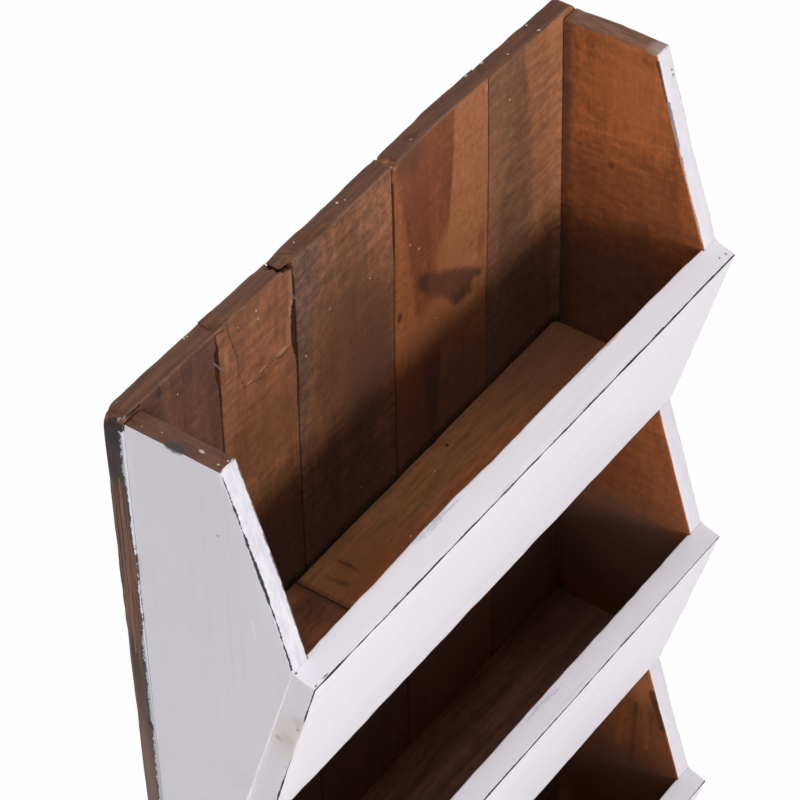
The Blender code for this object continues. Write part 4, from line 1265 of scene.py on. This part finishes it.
def addFrontBoard(pocket):
    node = "front_board_" + pocket
    look = frontBoardLook
    low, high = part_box(node)
    edge, thickness, height = leaningBoard(pocket)
    turn = Matrix.Rotation(look["lean"], 3, "X")
    nails = nodeMiddles("front_nail_" + pocket, lambda middle: True)
    nails = [turn.transposed() @ (nail - edge) for nail in nails]
    fineX = dentStretches([nail.x for nail in nails], look["fineStep"])
    fineZ = dentStretches([nail.z for nail in nails], look["fineStep"])
    xs = ticksAlong(low.x, high.x, look["arris"], look["step"], fineX)
    steps = np.array((look["bowEdge"], look["bowHalf"]))
    xs = np.unique(np.concatenate([xs, -steps, steps]).round(7))
    shares = ticksAlong(0, 1, look["arris"] / thickness, look["depthShare"])
    zs = ticksAlong(-height, 0, look["arris"], look["step"], fineZ)
    skin = slabSkin(xs, shares, zs, lambda z: np.full(len(z), thickness), look["arris"])
    gapLow, gapHigh = skin["gaps"][:, 0], skin["gaps"][:, 1]
    ends = np.minimum(gapLow[:, 0], gapHigh[:, 0])
    rims = np.minimum(ends, np.minimum(gapLow[:, 2], gapHigh[:, 2]))
    innerGap, frontGap, topGap = gapLow[:, 1], gapHigh[:, 1], gapHigh[:, 2]
    outside = innerGap + np.where(ends < flush, look["endLap"], 0)
    paintDepth = np.where(innerGap < flush, -rims, outside) + look["innerLap"]
    overSide = np.abs(skin["places"][:, 0]) > look["bowHalf"] - look["overlap"]
    seat = look["seat"]
    squareUp(skin, (low.x, 0, -height), overSide & (innerGap < seat) & ((ends < seat) | (topGap < seat)))
    rubbed = np.minimum(np.hypot(frontGap, topGap), np.hypot(frontGap, ends) + look["endRub"])
    rubbed = np.minimum(rubbed, np.hypot(frontGap, gapLow[:, 2]) + look["endRub"])
    pressIn(skin, [(nail.x, thickness, nail.z) for nail in nails], (0, -1, 0), nailLook["filledDent"])
    rubShare = smoothRamp(np.hypot(ends, innerGap), *look["unrubbed"])
    rubShare = rubShare * np.where(overSide & (innerGap < look["flushStrip"]), 0, 1)
    weather(skin, look, look["waveLengths"], look["seed"] + len(pocket), rubShare)
    places = skin["places"]
    share = np.clip((places[:, 0] + look["bowHalf"]) / (2 * look["bowHalf"]), 0, 1)
    bow = np.interp(share, look["bowShares"], look["bow"][pocket])
    bow = bow * smoothRamp(places[:, 2], *look["bowRise"])
    outShare = np.clip(places[:, 1] / thickness, 0, 1)
    downShare = -places[:, 2] / height
    places[:, 1] += look["swell"] * downShare * outShare - bow * (1 - outShare)
    if pocket == "top":                           # the ends are cut a little out of square
        slant, short = look["slantEnd"] * downShare, look["shortEnd"] * (1 - downShare)
        places[:, 0] += slant * smoothRamp(gapLow[:, 0], look["slantReach"], 0)
        places[:, 0] -= short * smoothRamp(gapHigh[:, 0], look["shortReach"], 0)
    marks = dict(paintDepth=paintDepth, rubbedArris=rubbed, sawnFace=sawnMark(skin, 1))
    placed = upright(places, 0) @ np.array(turn).T + np.array(edge)
    material = frontMaterial(pocket, edge, turn)
    name = "frontBoard" + pocket.capitalize()
    addPiece(name, placed, skin["quads"], marks, material, "white_painted_wood", node)


for pocket in frontBoardLook["pockets"]:
    addFrontBoard(pocket)


floorLook = dict(
    arris=0.0008, wave=0.0002, rub=0.0005, rubWidth=0.0018, rubLength=(0.02, 0.012, 0.012), step=0.0025,
    waveLengths=(0.15, 0.04, 0.04), followReach=0.012, seed=51)

floorBase = dict(
    timberBase, axis="x", across="y", strokeTurn=(0, 0, math.radians(6)), stroke=0.1, fibre=0.45, pore=0.3,
    scratch=0.15, speckle=0.12, rough=0.6, mottle=(42, 300))
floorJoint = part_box("pocket_floor_top_long")[0].x
floorTimbers = {
    "pocket_floor_top_short": dict(
        floorBase, dark=(0.08, 0.024, 0.0092), light=(0.142, 0.044, 0.016), shift=(8.3, 2.4, 5.2),
        dabs=[
            dab(onFloor(-0.086, 0.003), (0.007, 0.0045, 0.004), (0.24, 0.09, 0.032), 0.5, 0.6),
            dab(onFloor(-0.096, 0.031), (0.009, 0.0055, 0.004), (0.21, 0.064, 0.025), 0.5, 0.6)],
        lines=[
            scored(0.0034, (0.042, 0.014, 0.008), 0.5, onFloor(floorJoint, 0), onFloor(floorJoint, 0.06)),
            scored(0.0018, (0.04, 0.013, 0.006), 0.55, onFloor(-0.08, 0.012), onFloor(-0.086, 0.018),
                   onFloor(-0.094, 0.021), torn=True),
            scored(0.0016, (0.04, 0.013, 0.006), 0.45, onFloor(-0.079, 0.022), onFloor(-0.088, 0.026),
                   onFloor(-0.098, 0.0275), torn=True)]),
    "pocket_floor_top_long": dict(
        floorBase, dark=(0.15, 0.05, 0.018), light=(0.265, 0.092, 0.033), shift=(2.9, 6.2, 7.1),
        streaks=[
            dict(low=-0.037, high=0.02, soft=0.003, wobble=0.008, colour=(0.215, 0.088, 0.032),
                 strength=0.6),
            dict(low=-0.1, high=-0.037, soft=0.003, wobble=0.008, colour=(0.235, 0.074, 0.022),
                 strength=0.55)],
        lines=[
            scored(0.0038, (0.042, 0.014, 0.008), 0.5, onFloor(floorJoint, 0), onFloor(floorJoint, 0.06)),
            scored(0.0013, (0.05, 0.018, 0.008), 0.5, onFloor(-0.0466, 0.0085), onFloor(-0.0458, 0.0156),
                   onFloor(-0.0472, 0.0235))],
        dabs=[
            # Painted shade: the right end of the top floor is darker, where the side shades it.
            dab(onFloor(0.17, 0.03), (0.06, 0.06, 0.02), (0.09, 0.037, 0.019), 0.65, 0.6),
            dab(onFloor(-0.045, 0.026), (0.032, 0.02, 0.02), (0.17, 0.05, 0.014), 0.6, 0.6),
            *(dab(onFloor(x, reach), (wide, deep, 0.002), colour, strength, soft, torn=True)
              for x, reach, wide, deep, colour, strength, soft in (
                  (-0.0465, 0.011, 0.0028, 0.0055, (0.085, 0.031, 0.013), 0.45, 0.7),
                  (-0.0459, 0.015, 0.0016, 0.0034, (0.05, 0.018, 0.008), 0.6, 0.6),
                  (-0.0602, 0.0112, 0.002, 0.0026, (0.085, 0.03, 0.012), 0.5, 0.7),
                  (-0.0594, 0.017, 0.0019, 0.0036, (0.07, 0.024, 0.01), 0.65, 0.6),
                  (-0.0584, 0.0216, 0.0024, 0.0026, (0.06, 0.021, 0.009), 0.65, 0.6))),
            dab(onFloor(0.0626, 0.0054), (0.0012, 0.0012, 0.002), crackDark, 0.8)]),
    "pocket_floor_middle": dict(
        floorBase, dark=(0.17, 0.076, 0.055), light=(0.29, 0.13, 0.092), shift=(5.5, 3.3, 1.1),
        streaks=[
            dict(low=-0.054, high=-0.047, soft=0.003, wobble=0.012, colour=(0.11, 0.046, 0.031),
                 strength=0.5),
            dict(low=-0.036, high=-0.03, soft=0.003, wobble=0.012, colour=(0.11, 0.046, 0.031),
                 strength=0.5)],
        # Painted shade: a darker patch in the back right corner of the middle floor.
        dabs=[dab((0.185, backLine - 0.02, -0.397), (0.05, 0.045, 0.02), (0.1, 0.05, 0.04), 0.55, 0.6)]),
    "pocket_floor_bottom": dict(
        floorBase, dark=(0.12, 0.048, 0.026), light=(0.2, 0.082, 0.042), shift=(1.1, 8.3, 6.6)),
}


def addFloor(node):
    low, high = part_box(node)
    look = floorLook
    slope = math.tan(frontBoardLook["lean"])
    deep = high.y - low.y
    reachAt = lambda z: deep - (high.z - z) * slope
    xs = ticksAlong(low.x, high.x, look["arris"], look["step"])
    shares = ticksAlong(0, 1, look["arris"] / deep, look["step"] / deep)
    zs = ticksAlong(low.z, high.z, look["arris"], look["step"])
    skin = slabSkin(xs, shares, zs, reachAt, look["arris"])
    marks = dict(endGrain=endGrainMark(skin, 0, look["arris"]), sawnFace=sawnMark(skin, 2))
    weather(skin, look, look["waveLengths"], look["seed"] + len(node))
    places = skin["places"]
    places[:, 1] -= hollowAt(places[:, 0], places[:, 2]) * smoothRamp(places[:, 1], look["followReach"], 0)
    words = node.replace("pocket_floor_", "").title().replace("_", "")
    material = timberMaterial("floorTimber" + words, floorTimbers[node])
    placed = upright(skin["places"], high.y)
    addPiece("floorBoard" + words, placed, skin["quads"], marks, material, "brown_wood", node)


for node in floorTimbers:
    addFloor(node)


steelLook = dict(
    colour=(0.34, 0.33, 0.32), rust=(0.16, 0.07, 0.035), roughness=0.42, specular=0.5, bump=0.2,
    bumpDepth=0.0002, patches=(150, 150, 3, 0.55), rustLevels=(0.5, 0.8, 0.0, 0.7), rustDull=0.7)


# Dull steel with brown rust in small patches.
def steelMaterial():
    look = steelLook
    material, tree, shader, place = freshMaterial("dullSteel", look)
    patch = layer(tree, place, "x", (0, 0, 0), *look["patches"])
    rust = ramp(tree, patch, *look["rustLevels"])
    dulled = times(tree, rust, look["rustDull"])
    feed(tree, shader.inputs["Metallic"], calc(tree, "SUBTRACT", 1.0, dulled))
    finishMaterial(tree, shader, blend(tree, rust, look["colour"], look["rust"]), patch, look)
    return material


dullSteel = steelMaterial()
for name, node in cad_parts.items():
    if "nail" in name or "staple" in name or "hanger" in name:
        node.data.materials.clear()
        node.data.materials.append(dullSteel)
print("steel on the fasteners and hanger plates")


stageLook = dict(
    floorSize=30.0, floorColour=(0.86, 0.86, 0.86), floorRoughness=0.9, floorWhite=0.97,
    ambient=(0.95, 0.97, 1.0), ambientStrength=0.08)


# White to the camera and to reflections, lit by the lamps for everything else.
def whiteToCamera(tree, ordinary, white, share):
    rays = tree.nodes.new("ShaderNodeLightPath")
    seen = calc(tree, "MAXIMUM", rays.outputs["Is Camera Ray"], rays.outputs["Is Glossy Ray"])
    seen = calc(tree, "MAXIMUM", seen, rays.outputs["Is Transmission Ray"])
    mixer = tree.nodes.new("ShaderNodeMixShader")
    feed(tree, mixer.inputs[0], times(tree, seen, share))
    tree.links.new(ordinary, mixer.inputs[1])
    tree.links.new(white, mixer.inputs[2])
    return mixer.outputs[0]


def addStage():
    material = bpy.data.materials.new("paleFloor")
    material.use_nodes = True
    tree = material.node_tree
    shader = tree.nodes["Principled BSDF"]
    shader.inputs["Base Color"].default_value = (*stageLook["floorColour"], 1)
    shader.inputs["Roughness"].default_value = stageLook["floorRoughness"]
    glow = tree.nodes.new("ShaderNodeEmission")
    surface = whiteToCamera(tree, shader.outputs[0], glow.outputs[0], stageLook["floorWhite"])
    tree.links.new(surface, tree.nodes["Material Output"].inputs["Surface"])
    half = stageLook["floorSize"] / 2
    level = cadBox[0].z
    mesh = bpy.data.meshes.new("paleFloor")
    corners = [(-half, -half, level), (half, -half, level), (half, half, level), (-half, half, level)]
    mesh.from_pydata(corners, [], [(0, 1, 2, 3)])
    mesh.materials.append(material)
    floor = bpy.data.objects.new("paleFloor", mesh)
    bpy.context.scene.collection.objects.link(floor)
    world = bpy.data.worlds.new("studioAir")
    bpy.context.scene.world = world
    world.use_nodes = True
    tree = world.node_tree
    air = tree.nodes["Background"]
    air.inputs["Color"].default_value = (*stageLook["ambient"], 1)
    air.inputs["Strength"].default_value = stageLook["ambientStrength"]
    white = newNode(tree, "ShaderNodeBackground", Color=(1, 1, 1, 1))
    surface = whiteToCamera(tree, air.outputs[0], white.outputs[0], 1.0)
    tree.links.new(surface, tree.nodes["World Output"].inputs["Surface"])


lampLook = {
    "frontLamp": dict(
        aim=(0, -0.06, -0.05), direction=(-0.26, -1.0, 0.145), distance=2.4, size=0.9, power=38,
        colour=(1.0, 0.98, 0.97)),
    "topLamp": dict(
        aim=(0, -0.06, 0.0), direction=(-0.08, -0.08, 1.0), distance=2.2, size=1.5, power=30,
        colour=(0.97, 0.98, 1.0)),
    "leftLamp": dict(
        aim=(0, -0.06, -0.1), direction=(-1.0, -0.2, 0.08), distance=2.6, size=1.0, power=14.4,
        colour=(0.97, 0.98, 1.0)),
    "backLamp": dict(
        aim=(0, 0.0, -0.3), direction=(0.35, 1.0, 0.45), distance=2.6, size=1.6, power=26,
        colour=(1.0, 1.0, 1.0)),
}


def addLamps():
    for name, look in lampLook.items():
        lamp = bpy.data.lights.new(name, "AREA")
        lamp.shape = "DISK"
        lamp.size = look["size"]
        lamp.energy = look["power"]
        lamp.color = look["colour"]
        holder = bpy.data.objects.new(name, lamp)
        direction = Vector(look["direction"]).normalized()
        holder.location = Vector(look["aim"]) + direction * look["distance"]
        holder.rotation_euler = direction.to_track_quat("Z", "Y").to_euler()
        bpy.context.scene.collection.objects.link(holder)


cameraLook = dict(
    place=(-1.1176, -0.87, 1.2728), facing=(0.5763, 0.4322, -0.6936), roll=math.radians(-1.75),
    focalPixels=3555, imagePixels=800, sensor=36, farthest=100)


def addCamera():
    look = cameraLook
    camera = bpy.data.cameras.new("photoCamera")
    camera.sensor_width = look["sensor"]
    camera.lens = look["focalPixels"] / look["imagePixels"] * look["sensor"]
    camera.clip_end = look["farthest"]
    holder = bpy.data.objects.new("photoCamera", camera)
    level = Vector(look["facing"]).to_track_quat("-Z", "Y").to_matrix().to_4x4()
    holder.matrix_world = Matrix.Translation(look["place"]) @ level @ Matrix.Rotation(look["roll"], 4, "Z")
    bpy.context.scene.collection.objects.link(holder)
    bpy.context.scene.camera = holder


addStage()
addLamps()
addCamera()
bpy.context.scene.view_settings.view_transform = "Standard"
print("stage, lamps and camera")
